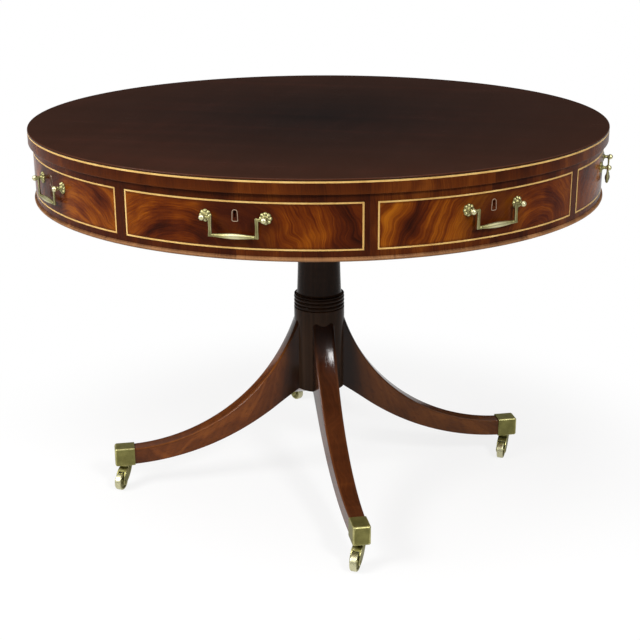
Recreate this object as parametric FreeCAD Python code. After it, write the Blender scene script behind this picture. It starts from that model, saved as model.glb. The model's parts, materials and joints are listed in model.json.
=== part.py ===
import FreeCAD, Part
import math
import os

# A drum table: a round top on a drum with four drawers, and four false fronts between them.
# The drum turns on a pedestal with four sabre legs, each in a brass cap on a caster.
# Millimetres, +Z up. The origin is on the floor, on the pedestal's axis, and the front drawer
# faces -Y. Turns are in degrees about +Z, counted from -Y towards +X.

# Top
table_height = 750.0
top_overhang = 8.0
top_thickness = 25.0
edge_round = 2.0
edge_veneer = 2.5
edge_string_height = 3.0
edge_string_drop = 3.8

# Drum
drum_radius = 542.0
front_thickness = 22.0
top_rail_height = 13.2
opening_height = 78.3
bottom_rail_height = 9.5
rail_depth = 52.0
moulding_height = 7.5
moulding_depth = 40.0
moulding_bead = 3.0
moulding_setback = 0.5
stile_width = 20.4
string_width = 2.6
string_depth = 1.2
partition_thickness = 13.0
partition_setback = 0.5
bottom_board_recess = 0.5
fronts = 8

# Drawers
front_gap = 0.6
runner_gap = 0.3
drawer_side_gap = 1.5
drawer_side = 10.0
drawer_side_height = 67.0
drawer_bottom = 5.0
drawer_bottom_lift = 6.0
drawer_back_drop = 5.0
drawer_back_gap = 2.0

# Handles
handle_drop_from_opening = 26.8
handle_width = 98.0
petals = 8
petal_tip = 10.6
petal_valley = 9.2
petal_plate = 1.8
post_boss_radius = 6.4
post_boss_height = 3.6
post_neck_radius = 2.6
eye_out = 12.0
knob_radius = 4.9
knob_out = 14.4
post_bolt_radius = 2.5
post_nut_radius = 6.0
post_nut_height = 3.0
post_bolt_spare = 2.0
bail_width = 76.0
bail_drop = 28.2
bail_arm_width = 5.6
bail_arm_depth = 3.8
bail_shoulder_radius = 2.6
bail_pin_radius = 1.7
bail_pin_reach = 1.2
bail_bar_end_radius = 2.3
bail_bar_radius = 4.7
bail_side_gap = 0.35

# Locks
key_drop_from_opening = 24.0
thread_width = 1.1
thread_proud = 0.3
thread_depth = 1.0
thread_head_radius = 4.7
thread_foot_half_width = 5.2
thread_height = 19.6
key_eye_radius = 2.3
key_slot_width = 2.6
key_slot_drop = 8.0
false_key_depth = 6.0
lock_width = 56.0
lock_height = 38.0
lock_depth = 11.0
lock_plate = 2.5
bolt_width = 16.0
bolt_thickness = 4.0
bolt_height = 24.0
bolt_travel = 8.0
bolt_rest_drop = 0.5
bolt_gap = 0.3
mortise_spare = 1.0

# Column
column_foot_height = 194.0
block_radius = 51.0
block_chamfer = 1.5
block_height = 172.0
reeds = 3
reed_height = 8.0
reed_depth = 2.0
ring_cap_height = 2.5
ring_shoulder_height = 5.5
cove_share = 0.18
shaft_foot_radius = 44.6
shaft_waist_radius = 42.4
shaft_top_radius = 41.5
shaft_waist_share = 0.38
collar_radius = 52.0
collar_height = 20.0
collar_fillet_height = 6.0
bearing_radius = 122.0
bearing_thickness = 26.0
bearing_edge = 8.0
bearing_gap = 0.3
tenon_radius = 24.0

# Pivot
pin_radius = 12.5
pin_depth = 110.0
pin_spare = 4.0
washer_radius = 27.0
washer_thickness = 3.0
nut_radius = 21.0
nut_height = 14.0
nut_sides = 6

# Legs
leg_angle = 24.0
leg_top_height = 342.0
leg_root_width = 44.0
leg_crown_radius = 9.0
leg_overlap = 14.0
leg_top_shares = [(0.120, 0.659), (0.302, 0.375), (0.628, 0.105)]
leg_under_shares = [(0.155, 0.712), (0.558, 0.205)]
tongue_depth = 13.0
tongue_root_width = 14.0
tongue_tip_width = 20.0
tongue_drop = 6.0
joint_gap = 0.1

# Toe caps
cap_end_radius = 427.7
cap_length = 40.5
cap_width = 34.0
cap_under_height = 48.0
cap_height = 38.6
cap_wall = 2.0
cap_round = 3.5
cap_screw_radius = 1.6
cap_screw_head_radius = 3.0
cap_screw_head = 1.2
cap_screw_length = 14.0
cap_screw_inset = 5.5

# Iron plate under the legs
plate_thickness = 3.0
plate_disc_radius = 42.0
plate_arm_width = 18.0
plate_arm_length = 46.0
plate_screw_radius = 2.2
plate_screw_head_radius = 4.2
plate_screw_head = 1.8
plate_screw_length = 16.0
plate_screw_out = 30.0

# Casters
caster_setback = 21.7
caster_angles = {"front": -6.0, "right": -6.0, "back": 55.0, "left": -6.0}
caster_trail = 24.0
wheel_radius = 17.5
wheel_width = 13.0
wheel_round = 2.0
wheel_hub_radius = 6.0
wheel_rim = 4.5
wheel_dish = 2.0
wheel_side_gap = 0.5
wheel_top_gap = 1.6
cheek = 3.0
cheek_end_radius = 6.5
cheek_rise_angle = 40.0
cheek_fall_angle = -110.0
horn_over_share = 0.85
horn_inside_share = 0.2
crown_half = 8.5
crown_height = 4.5
axle_radius = 2.5
axle_head_radius = 4.0
axle_head = 1.0
stem_radius = 4.0
rivet_radius = 6.5
rivet_height = 3.0
swivel_gap = 0.3
running_gap = 0.05
overrun = 5.0

# Heights and radii that follow from the sizes above
top_low = table_height - top_thickness
opening_high = top_low - top_rail_height
opening_low = opening_high - opening_height
rail_low = opening_low - bottom_rail_height
moulding_low = rail_low - moulding_height
board_low = moulding_low + bottom_board_recess
bearing_high = board_low - bearing_gap
bearing_low = bearing_high - bearing_thickness
top_radius = drum_radius + top_overhang
shell_inner = drum_radius - front_thickness
rail_inner = drum_radius - rail_depth
full_angle = 360.0
quarter_turn = full_angle / 4
bay_turn = full_angle / fronts
sides = ("front", "right", "back", "left")
corners = ("front_right", "back_right", "back_left", "front_left")
drawer_angles = {side: quarter_turn * place for place, side in enumerate(sides)}
false_angles = {corner: quarter_turn * place + bay_turn for place, corner in enumerate(corners)}
leg_angles = {side: quarter_turn * place + leg_angle for place, side in enumerate(sides)}
corner_share = 1 - math.sqrt(1 / 2)
panel_turn = bay_turn / 2 - math.degrees(stile_width / 2 / drum_radius)
opening_half = drum_radius * math.sin(math.radians(panel_turn))
partition_near = opening_half + partition_setback
partition_far = partition_near + partition_thickness
handle_height = opening_high - handle_drop_from_opening
key_height = opening_high - key_drop_from_opening
post_turn = math.degrees(handle_width / 2 / drum_radius)
eye_x = (drum_radius + eye_out) * math.sin(math.radians(post_turn))
eye_y = (drum_radius + eye_out) * math.cos(math.radians(post_turn))
ring_low = column_foot_height + block_height
ring_high = ring_low + reeds * reed_height + ring_cap_height
cap_start = cap_end_radius - cap_length
cap_high = cap_under_height + cap_height
caster_radius = cap_end_radius - caster_setback
leg_end_low = cap_under_height + cap_wall + running_gap
leg_end_high = cap_high - cap_wall - running_gap
leg_end_width = cap_width - 2 * cap_wall - 2 * running_gap
leg_end_radius = cap_end_radius - cap_wall - running_gap
horn_high = cap_under_height - swivel_gap
horn_width = wheel_width + 2 * wheel_side_gap + 2 * cheek


def vector(x, y, z):
    return FreeCAD.Vector(x, y, z)


def seen_from_side(across, height):
    """A point of an outline in the radial plane of the front, given by its radius and height."""
    return vector(0, -across, height)


def outline_face(points, place):
    """A face in an outline: (a, b) is a straight run to a point, (m, n, a, b) an arc through (m, n)."""
    steps = list(points[1:])
    if steps[-1][-2:] != points[0]:
        steps.append(points[0])
    edges = []
    start = points[0]
    for step in steps:
        end = step[-2:]
        if len(step) == 4:
            edges.append(Part.Arc(place(*start), place(*step[:2]), place(*end)).toShape())
        else:
            edges.append(Part.makeLine(place(*start), place(*end)))
        start = end
    return Part.Face(Part.Wire(edges))


def bowed(start, end, share):
    """The middle of an arc between two points, off its chord by a share of the chord's length."""
    across = end[0] - start[0]
    up = end[1] - start[1]
    return ((start[0] + end[0]) / 2 - share * up, (start[1] + end[1]) / 2 + share * across)


def turned(points):
    """A solid turned about the upright axis from an outline of radii and heights."""
    face = outline_face(points, seen_from_side)
    return face.revolve(vector(0, 0, 0), vector(0, 0, 1), full_angle)


def disc(radius, low, high):
    return Part.makeCylinder(radius, high - low, vector(0, 0, low))


def ring(inner, outer, low, high):
    return disc(outer, low, high).cut(disc(inner, low, high))


def block(x_low, x_high, y_low, y_high, z_low, z_high):
    return Part.makeBox(x_high - x_low, y_high - y_low, z_high - z_low, vector(x_low, y_low, z_low))


def rod(radius, start, end):
    run = end - start
    return Part.makeCylinder(radius, run.Length, start, run)


def level_point(radius, turn):
    angle = math.radians(turn)
    return (radius * math.sin(angle), -radius * math.cos(angle))


def sector(inner, outer, low, high, turn_from, turn_to):
    """Part of an upright ring, between two turns."""
    middle = (turn_from + turn_to) / 2
    start = level_point(inner, turn_from)
    points = [
        start,
        level_point(outer, turn_from),
        level_point(outer, middle) + level_point(outer, turn_to),
        level_point(inner, turn_to),
        level_point(inner, middle) + start,
    ]
    face = outline_face(points, lambda x, y: vector(x, y, low))
    return face.extrude(vector(0, 0, high - low))


def at_turn(shape, turn):
    """A copy of a shape, turned about the table's axis."""
    copy = shape.copy()
    copy.rotate(vector(0, 0, 0), vector(0, 0, 1), turn)
    return copy


def mirrored(shape):
    """A copy of a shape on the other side of the front's middle plane."""
    return shape.mirror(vector(0, 0, 0), vector(1, 0, 0))


def save(name, shapes):
    """Write one node: every solid of the given shapes, each one whole and closed."""
    solids = [solid for shape in shapes for solid in shape.Solids]
    for solid in solids:
        if not solid.isValid() or solid.Volume <= 0:
            raise ValueError(name + " holds a broken solid")
    whole = solids[0] if len(solids) == 1 else Part.makeCompound(solids)
    whole.exportStep(os.path.join("parts", name + ".step"))
    print(name, len(solids), round(whole.Volume))


def make_top():
    """The top board, the veneer round its edge, and the string between them."""
    string_high = table_height - edge_string_drop
    string_low = string_high - edge_string_height
    board_radius = top_radius - edge_veneer
    board = turned([
        (0, top_low),
        (board_radius, top_low),
        (board_radius, string_high),
        (top_radius, string_high),
        (top_radius, table_height - edge_round),
        (top_radius - corner_share * edge_round, table_height - corner_share * edge_round,
         top_radius - edge_round, table_height),
        (0, table_height),
    ])
    save("top_board", [board])
    save("edge_banding", [ring(board_radius, top_radius, top_low, string_low)])
    return ring(board_radius, top_radius, string_low, string_high)


def lock_mortise():
    """The room in the top rail for a risen lock bolt, at the front."""
    half = bolt_width / 2 + bolt_gap
    near = bolt_near() - bolt_gap
    far = bolt_near() + bolt_thickness + bolt_gap
    high = opening_high + bolt_travel + mortise_spare
    return block(-half, half, -far, -near, opening_high - overrun, high)


def bolt_near():
    """The distance from the axis to the inner face of a lock bolt."""
    return shell_inner + (lock_depth - bolt_thickness) / 2


def make_rails():
    top_rail = ring(rail_inner, drum_radius, opening_high, top_low)
    for turn in drawer_angles.values():
        top_rail = top_rail.cut(at_turn(lock_mortise(), turn))
    save("top_rail", [top_rail])
    save("bottom_rail", [ring(rail_inner, drum_radius, rail_low, opening_low)])
    inner = drum_radius - moulding_depth
    outer = drum_radius + moulding_setback
    bead_height = (moulding_low + rail_low) / 2
    save("base_moulding", [turned([
        (inner, moulding_low),
        (outer, moulding_low),
        (outer + moulding_bead, bead_height, outer, rail_low),
        (inner, rail_low),
    ])])


def make_stiles():
    """One stile at each side of each drawer: its drawer side is flat, its other side is radial."""
    far_turn = bay_turn - panel_turn
    near_turn = panel_turn - math.degrees(stile_width / drum_radius)
    stile = sector(shell_inner, drum_radius, opening_low, opening_high, near_turn, far_turn)
    passage = block(-opening_half, opening_half, -drum_radius - overrun, 0,
                    opening_low - overrun, opening_high + overrun)
    stile = stile.cut(passage)
    stiles = []
    for turn in drawer_angles.values():
        stiles += [at_turn(stile, turn), at_turn(mirrored(stile), turn)]
    save("stiles", stiles)


def make_partitions():
    """Two boards each way, halved where they cross, which guide the drawers and carry the top."""
    middle = (opening_low + top_low) / 2
    board = block(partition_near, partition_far, -drum_radius, drum_radius, opening_low, top_low)
    board = board.common(disc(shell_inner, opening_low, top_low))
    board = board.cut(ring(rail_inner, drum_radius + overrun, opening_high, top_low + overrun))
    near = partition_near - joint_gap
    far = partition_far + joint_gap

    def halving(low, high):
        first = block(near - overrun, far + overrun, near, far, low, high)
        second = block(near - overrun, far + overrun, -far, -near, low, high)
        return first.fuse(second)

    lower = board.cut(halving(middle, top_low + overrun))
    upper = board.cut(halving(opening_low - overrun, middle))
    boards = [lower, mirrored(lower), at_turn(upper, quarter_turn),
              at_turn(mirrored(upper), quarter_turn)]
    save("drum_partitions", boards)


def make_bottom_board():
    board = disc(rail_inner, board_low, opening_low)
    board = board.cut(disc(pin_radius + running_gap, board_low - overrun, opening_low + overrun))
    save("drum_bottom", [board])


def key_outline(grow, depth_from, depth_to):
    """The keyhole's thread as a solid of the given growth, between two distances from the axis."""
    head = thread_head_radius - grow
    foot = thread_foot_half_width - grow
    head_height = key_height + thread_height / 2 - thread_head_radius
    foot_low = key_height - thread_height / 2 + grow
    corner = foot / 2
    points = [
        (-head, head_height),
        (-foot, foot_low + corner),
        (-foot + corner_share * corner, foot_low + corner_share * corner, -foot + corner, foot_low),
        (foot - corner, foot_low),
        (foot - corner_share * corner, foot_low + corner_share * corner, foot, foot_low + corner),
        (head, head_height),
        (0, head_height + head, -head, head_height),
    ]
    face = outline_face(points, lambda x, z: vector(x, -depth_to, z))
    return face.extrude(vector(0, depth_to - depth_from, 0))


def key_thread():
    """The thin metal thread round a keyhole, let into the front and a little proud of it."""
    outer = drum_radius + overrun
    inner = drum_radius - thread_depth
    whole = key_outline(0, inner - overrun, outer)
    hollow = key_outline(thread_width, inner - overrun - overrun, outer + overrun)
    skin = sector(inner, drum_radius + thread_proud, key_height - thread_height,
                  key_height + thread_height, -panel_turn, panel_turn)
    return whole.cut(hollow).common(skin)


def keyhole(depth):
    """The key's way in: a round eye with a slot below it, to a depth from the front's face."""
    eye_height = key_height + thread_height / 2 - thread_head_radius
    start = vector(0, -drum_radius - overrun, eye_height)
    end = vector(0, -drum_radius + depth, eye_height)
    half = key_slot_width / 2
    slot = block(-half, half, -drum_radius - overrun, -drum_radius + depth,
                 eye_height - key_slot_drop, eye_height)
    return rod(key_eye_radius, start, end).fuse(slot)


def post_holes():
    holes = []
    for side in (-1, 1):
        start = vector(0, -drum_radius - overrun, handle_height)
        end = vector(0, -shell_inner + overrun, handle_height)
        holes.append(at_turn(rod(post_bolt_radius + running_gap, start, end), side * post_turn))
    return holes[0].fuse(holes[1])


def petal_disc():
    """A plate with eight petals, flat against the front's face."""
    def around(radius, half_steps):
        angle = math.pi * half_steps / petals
        return (radius * math.sin(angle), handle_height + radius * math.cos(angle))

    start = around(petal_valley, 0)
    points = [start]
    for petal in range(petals):
        end = start if petal == petals - 1 else around(petal_valley, 2 * petal + 2)
        points.append(around(petal_tip, 2 * petal + 1) + end)
    face = outline_face(points, lambda x, z: vector(x, -drum_radius, z))
    return face.extrude(vector(0, -petal_plate, 0))


def handle_post(side):
    """A turned post on its petal plate, with a hole for the bail's pin and a bolt through the front."""
    neck_end = knob_out - math.sqrt(knob_radius ** 2 - post_neck_radius ** 2)
    boss_round = post_boss_height / 2
    points = [
        (0, 0),
        (post_boss_radius, 0),
        (post_boss_radius, boss_round),
        (post_neck_radius, post_boss_height),
        (post_neck_radius, neck_end),
        (knob_radius, knob_out, 0, knob_out + knob_radius),
    ]
    face = outline_face(points, lambda radius, out: vector(0, -drum_radius - out, handle_height + radius))
    post = face.revolve(vector(0, 0, handle_height), vector(0, -1, 0), full_angle)
    bolt_end = front_thickness + post_nut_height + post_bolt_spare
    bolt = rod(post_bolt_radius, vector(0, -drum_radius - petal_plate, handle_height),
               vector(0, -drum_radius + bolt_end, handle_height))
    post = at_turn(post.fuse(petal_disc()).fuse(bolt), side * post_turn)
    hole = rod(bail_pin_radius + running_gap, vector(0, -eye_y, handle_height),
               vector(side * (eye_x + bail_pin_reach + running_gap), -eye_y, handle_height))
    return post.cut(hole)


def post_nut(side):
    near = vector(0, -shell_inner + running_gap, handle_height)
    far = vector(0, -shell_inner + running_gap + post_nut_height, handle_height)
    nut = rod(post_nut_radius, near, far)
    inner = rod(post_bolt_radius, near - vector(0, overrun, 0), far + vector(0, overrun, 0))
    return at_turn(nut.cut(inner), side * post_turn)


def handle_fittings():
    fittings = []
    for side in (-1, 1):
        fittings += [handle_post(side), post_nut(side)]
    return fittings


def bail():
    """The swinging handle: a pin and shoulder at each post, two flat arms, and a swelling bar."""
    middle = bail_width / 2
    half = bail_arm_width / 2
    low = handle_height - bail_drop
    shoulder_end = eye_x - knob_radius - bail_side_gap
    arm = block(middle - half, middle + half, -eye_y - bail_arm_depth / 2, -eye_y + bail_arm_depth / 2,
                low - bail_bar_end_radius, handle_height + bail_shoulder_radius)
    shoulder = rod(bail_shoulder_radius, vector(middle, -eye_y, handle_height),
                   vector(shoulder_end, -eye_y, handle_height))
    pin = rod(bail_pin_radius, vector(middle, -eye_y, handle_height),
              vector(eye_x + bail_pin_reach, -eye_y, handle_height))
    side = arm.fuse(shoulder).fuse(pin)
    bar_face = outline_face([
        (-middle, 0),
        (-middle, bail_bar_end_radius),
        (0, bail_bar_radius, middle, bail_bar_end_radius),
        (middle, 0),
    ], lambda x, radius: vector(x, -eye_y, low + radius))
    bar = bar_face.revolve(vector(0, -eye_y, low), vector(1, 0, 0), full_angle)
    return side.fuse(mirrored(side)).fuse(bar).removeSplitter()


def front_frame(body, skin, inner_cut):
    """A front's string, and the front with the string's groove cut out of it."""
    string = skin.cut(inner_cut)
    return string, body.cut(string)


def drawer_front():
    """A drawer's curved front with flat sides, its string, and the holes of its fittings."""
    low = opening_low + front_gap
    high = opening_high - front_gap
    half = opening_half - front_gap
    reach = block(-half, half, -drum_radius - overrun, 0, low, high)
    body = sector(shell_inner, drum_radius, low, high, -bay_turn / 2, bay_turn / 2).common(reach)
    skin = sector(drum_radius - string_depth, drum_radius, low, high, -bay_turn / 2, bay_turn / 2)
    inner = block(-half + string_width, half - string_width, -drum_radius - overrun, 0,
                  low + string_width, high - string_width)
    string, body = front_frame(body, skin.common(reach), inner)
    body = body.cut(lock_pocket()).cut(post_holes())
    body = body.cut(keyhole(front_thickness)).cut(key_thread())
    return string, body


def lock_pocket():
    """The room for a lock case in the back of a drawer's front."""
    half = lock_width / 2
    low = opening_high - front_gap - lock_height
    return block(-half, half, -shell_inner - lock_depth, -shell_inner + overrun,
                 low, opening_high + overrun)


def lock_case():
    """A lock case with a channel for its bolt, open at the top, and the key's way into it."""
    half = lock_width / 2
    high = opening_high - front_gap
    case = block(-half, half, -shell_inner - lock_depth, -shell_inner, high - lock_height, high)
    bolt_half = bolt_width / 2 + bolt_gap
    channel = block(-bolt_half, bolt_half, -bolt_near() - bolt_thickness - bolt_gap,
                    -bolt_near() + bolt_gap, high - bolt_rest_drop - bolt_height - bolt_gap,
                    high + overrun)
    key_way = keyhole(front_thickness - lock_depth + lock_plate)
    return case.cut(channel).cut(key_way)


def lock_bolt():
    high = opening_high - front_gap - bolt_rest_drop
    half = bolt_width / 2
    return block(-half, half, -bolt_near() - bolt_thickness, -bolt_near(), high - bolt_height, high)


def drawer_box():
    """The two sides, the back and the bottom board behind a drawer's front."""
    low = opening_low + runner_gap
    high = low + drawer_side_height
    outer = partition_near - drawer_side_gap
    inner = outer - drawer_side
    back = partition_far + drawer_back_gap
    bottom_low = low + drawer_bottom_lift
    bottom_high = bottom_low + drawer_bottom
    room = disc(shell_inner, low - overrun, high + overrun)
    side = block(inner, outer, -drum_radius, -back, low, high).common(room)
    back_board = block(-inner, inner, -back - drawer_side, -back, bottom_high, high - drawer_back_drop)
    bottom = block(-inner, inner, -drum_radius, -back, bottom_low, bottom_high).common(room)
    return [side, mirrored(side), back_board, bottom]


def make_drawers():
    string, front = drawer_front()
    pieces = {
        "face": [front],
        "stringing": [string],
        "box": drawer_box(),
        "posts": handle_fittings(),
        "lock": [lock_case(), key_thread()],
        "bolt": [lock_bolt()],
        "bail": [bail()],
    }
    for name, turn in drawer_angles.items():
        for piece, shapes in pieces.items():
            save(name + "_drawer_" + piece, [at_turn(shape, turn) for shape in shapes])


def false_front():
    """A false front: glued between the rails and two stiles, with the same string and fittings."""
    body = sector(shell_inner, drum_radius, opening_low, opening_high, -panel_turn, panel_turn)
    low = opening_low + front_gap
    high = opening_high - front_gap
    side_turn = panel_turn - math.degrees(front_gap / drum_radius)
    inner_turn = side_turn - math.degrees(string_width / drum_radius)
    skin = sector(drum_radius - string_depth, drum_radius, low, high, -side_turn, side_turn)
    inner = sector(shell_inner, drum_radius + overrun, low + string_width, high - string_width,
                   -inner_turn, inner_turn)
    string, body = front_frame(body, skin, inner)
    body = body.cut(post_holes()).cut(keyhole(false_key_depth)).cut(key_thread())
    return string, body


def make_false_fronts(edge_string):
    string, front = false_front()
    fittings = handle_fittings() + [key_thread()]
    turns = false_angles.values()
    save("false_fronts", [at_turn(front, turn) for turn in turns])
    save("false_front_fittings", [at_turn(shape, turn) for turn in turns for shape in fittings])
    save("drum_stringing", [edge_string] + [at_turn(string, turn) for turn in turns])
    for name, turn in false_angles.items():
        save(name + "_bail", [at_turn(bail(), turn)])


def leg_tongue(gap):
    """A leg's dovetail at the front, grown by a gap: wider at its tip than at the leg's shoulder."""
    root = tongue_root_width / 2 + gap
    tip = tongue_tip_width / 2 + gap
    near = block_radius - tongue_depth - gap
    points = [(-tip, -near), (-root, -block_radius - overrun), (root, -block_radius - overrun),
              (tip, -near)]
    face = outline_face(points, lambda x, y: vector(x, y, column_foot_height - gap))
    return face.extrude(vector(0, 0, leg_top_height - tongue_drop - column_foot_height + 2 * gap))


def column():
    """The turned column: plain block, reeded ring, shaft and collar, with a tenon on top."""
    shoulder_high = ring_high + ring_shoulder_height
    collar_low = bearing_low - collar_height
    collar_high = bearing_low - collar_fillet_height
    waist = shoulder_high + shaft_waist_share * (collar_low - shoulder_high)
    ring_radius = block_radius - reed_depth / 2
    points = [
        (0, column_foot_height),
        (block_radius - block_chamfer, column_foot_height),
        (block_radius, column_foot_height + block_chamfer),
        (block_radius, ring_low - block_chamfer),
        (ring_radius - reed_depth / 2, ring_low),
    ]
    for reed in range(reeds):
        reed_low = ring_low + reed * reed_height
        points.append((ring_radius + reed_depth / 2, reed_low + reed_height / 2,
                       ring_radius - reed_depth / 2, reed_low + reed_height))
    points += [
        (ring_radius, ring_high - ring_cap_height / 2),
        (ring_radius, ring_high),
        bowed((ring_radius, ring_high), (shaft_foot_radius, shoulder_high), cove_share)
        + (shaft_foot_radius, shoulder_high),
        (shaft_waist_radius, waist, shaft_top_radius, collar_low),
        bowed((shaft_top_radius, collar_low), (collar_radius, collar_high), -cove_share)
        + (collar_radius, collar_high),
        (collar_radius, bearing_low),
        (tenon_radius, bearing_low),
        (tenon_radius, bearing_high - bearing_gap),
        (0, bearing_high - bearing_gap),
    ]
    body = turned(points)
    body = body.cut(disc(pin_radius, bearing_high - pin_depth, bearing_high + overrun))
    for turn in leg_angles.values():
        body = body.cut(at_turn(leg_tongue(joint_gap), turn))
    return body


def make_pedestal_top():
    """The bearing block on the column, and the pin, washer and nut that hold the drum on it."""
    edge_radius = bearing_radius - bearing_edge
    block_shape = turned([
        (tenon_radius, bearing_low),
        (edge_radius, bearing_low),
        (bearing_radius, bearing_low + bearing_edge),
        (bearing_radius, bearing_high),
        (tenon_radius, bearing_high),
    ])
    save("bearing_block", [block_shape])
    washer_low = opening_low + bearing_gap
    nut_low = washer_low + washer_thickness
    nut_high = nut_low + nut_height
    pin = disc(pin_radius, bearing_high - pin_depth, nut_high + pin_spare)
    washer = ring(pin_radius, washer_radius, washer_low, nut_low)
    nut_points = [level_point(nut_radius, full_angle * side / nut_sides) for side in range(nut_sides)]
    nut_face = outline_face(nut_points, lambda x, y: vector(x, y, nut_low))
    nut = nut_face.extrude(vector(0, 0, nut_height)).cut(disc(pin_radius, nut_low, nut_high))
    save("pivot_pin", [pin, washer, nut])


def leg_top_point(share):
    """A point of a leg's upper edge, from its shares of the leg's reach and rise."""
    reach, rise = share
    return (block_radius + reach * (cap_start - block_radius),
            leg_end_high + rise * (leg_top_height - leg_end_high))


def leg_under_point(share):
    """A point of a leg's lower edge, from its shares of the leg's reach and rise."""
    reach, rise = share
    return (block_radius + reach * (cap_start - block_radius),
            leg_end_low + rise * (column_foot_height - leg_end_low))


def leg_blank():
    """A sabre leg's outline from the side, its taper from above and its round crown, in one solid."""
    top = [leg_top_point(share) for share in leg_top_shares]
    under = [leg_under_point(share) for share in leg_under_shares]
    inner = block_radius - leg_overlap
    side = outline_face([
        (inner, column_foot_height),
        (inner, leg_top_height),
        (block_radius, leg_top_height),
        top[0] + top[1],
        top[2] + (cap_start, leg_end_high),
        (leg_end_radius, leg_end_high),
        (leg_end_radius, leg_end_low),
        (cap_start, leg_end_low),
        under[1] + under[0],
        (block_radius, column_foot_height),
    ], lambda across, height: vector(-leg_root_width, -across, height))
    side = side.extrude(vector(2 * leg_root_width, 0, 0))
    root = leg_root_width / 2
    end = leg_end_width / 2
    plan = outline_face([
        (-root, -inner),
        (-root, -block_radius),
        (-end, -cap_start),
        (-end, -leg_end_radius),
        (end, -leg_end_radius),
        (end, -cap_start),
        (root, -block_radius),
        (root, -inner),
    ], lambda x, y: vector(x, y, 0)).extrude(vector(0, 0, table_height))
    bend = corner_share * leg_crown_radius
    crown = outline_face([
        (-root, 0),
        (-root, leg_top_height - leg_crown_radius),
        (-root + bend, leg_top_height - bend, -root + leg_crown_radius, leg_top_height),
        (root - leg_crown_radius, leg_top_height),
        (root - bend, leg_top_height - bend, root, leg_top_height - leg_crown_radius),
        (root, 0),
    ], lambda x, z: vector(x, 0, z)).extrude(vector(0, -cap_end_radius, 0))
    return side.common(plan).common(crown)


def under_line():
    """Where the straight stretch under a leg starts, and its direction and outward normal."""
    start = (block_radius, column_foot_height)
    end = leg_under_point(leg_under_shares[0])
    run = math.hypot(end[0] - start[0], end[1] - start[1])
    along = ((end[0] - start[0]) / run, (end[1] - start[1]) / run)
    return start, along, (along[1], -along[0])


def plate_screw(gap):
    """A screw through an arm of the iron plate into the leg above it, grown by a gap."""
    start, along, out = under_line()
    foot = (start[0] + along[0] * plate_screw_out + out[0] * plate_thickness,
            start[1] + along[1] * plate_screw_out + out[1] * plate_thickness)

    def up(distance):
        return vector(0, -(foot[0] - out[0] * distance), foot[1] - out[1] * distance)

    head = rod(plate_screw_head_radius + gap, up(0), up(plate_screw_head))
    shank = rod(plate_screw_radius + gap, up(0), up(plate_screw_length))
    return head.fuse(shank)


def cap_screw(gap):
    """A screw through the floor of a toe cap into the leg, grown by a gap."""
    across = cap_start + cap_screw_inset
    foot = vector(0, -across, cap_under_height)
    head = rod(cap_screw_head_radius + gap, foot, foot + vector(0, 0, cap_screw_head))
    shank = rod(cap_screw_radius + gap, foot, foot + vector(0, 0, cap_screw_length))
    return head.fuse(shank)


def stem_place(turn):
    return vector(*level_point(caster_radius, turn), 0)


def stem_room():
    """The room in a leg's end for the riveted head of a caster's stem, at the front."""
    radius = rivet_radius + swivel_gap
    high = cap_under_height + cap_wall + swivel_gap + rivet_height + swivel_gap
    return Part.makeCylinder(radius, high, vector(0, -caster_radius, 0))


def leg():
    body = leg_blank().cut(disc(block_radius, 0, table_height))
    body = body.fuse(leg_tongue(0).common(disc(block_radius + joint_gap, 0, table_height)))
    return body.cut(plate_screw(0)).cut(cap_screw(0)).cut(stem_room()).removeSplitter()


def toe_cap():
    """A square brass box with rounded edges, open towards the leg, with holes in its floor."""
    half = cap_width / 2
    box = block(-half, half, -cap_end_radius, -cap_start, cap_under_height, cap_high)
    end_edges = [edge for edge in box.Edges if edge.BoundBox.YMax < -cap_end_radius + cap_wall]
    box = box.makeFillet(cap_round, end_edges)
    inner_half = half - cap_wall
    room = block(-inner_half, inner_half, -cap_end_radius + cap_wall, -cap_start + overrun,
                 cap_under_height + cap_wall, cap_high - cap_wall)
    stem_start = vector(0, -caster_radius, cap_under_height - overrun)
    stem_end = vector(0, -caster_radius, cap_under_height + cap_wall + overrun)
    stem_hole = rod(stem_radius + running_gap, stem_start, stem_end)
    return box.cut(room).cut(stem_hole).cut(cap_screw(0))


def leg_plate():
    """An iron plate under the column with an arm bent down under each leg."""
    low = column_foot_height - plate_thickness
    plate = disc(plate_disc_radius, low, column_foot_height)
    start, along, out = under_line()
    bend = plate_thickness * math.tan(math.atan2(-along[1], along[0]) / 2)
    half = plate_arm_width / 2
    end = (start[0] + along[0] * plate_arm_length, start[1] + along[1] * plate_arm_length)
    under = (end[0] + out[0] * plate_thickness, end[1] + out[1] * plate_thickness)
    arm = outline_face([
        (0, column_foot_height),
        start,
        end,
        under,
        (start[0] - bend, low),
        (0, low),
    ], lambda across, height: vector(-half, -across, height)).extrude(vector(plate_arm_width, 0, 0))
    arm = arm.cut(plate_screw(0))
    for turn in leg_angles.values():
        plate = plate.fuse(at_turn(arm, turn))
    return plate.removeSplitter()


def make_pedestal():
    save("column", [column()])
    make_pedestal_top()
    one_leg = leg()
    for name, turn in leg_angles.items():
        save(name + "_leg", [at_turn(one_leg, turn)])
    turns = leg_angles.values()
    caps = [at_turn(shape, turn) for turn in turns for shape in (toe_cap(), cap_screw(0))]
    save("toe_caps", caps)
    save("leg_plate", [leg_plate()] + [at_turn(plate_screw(0), turn) for turn in turns])


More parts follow.
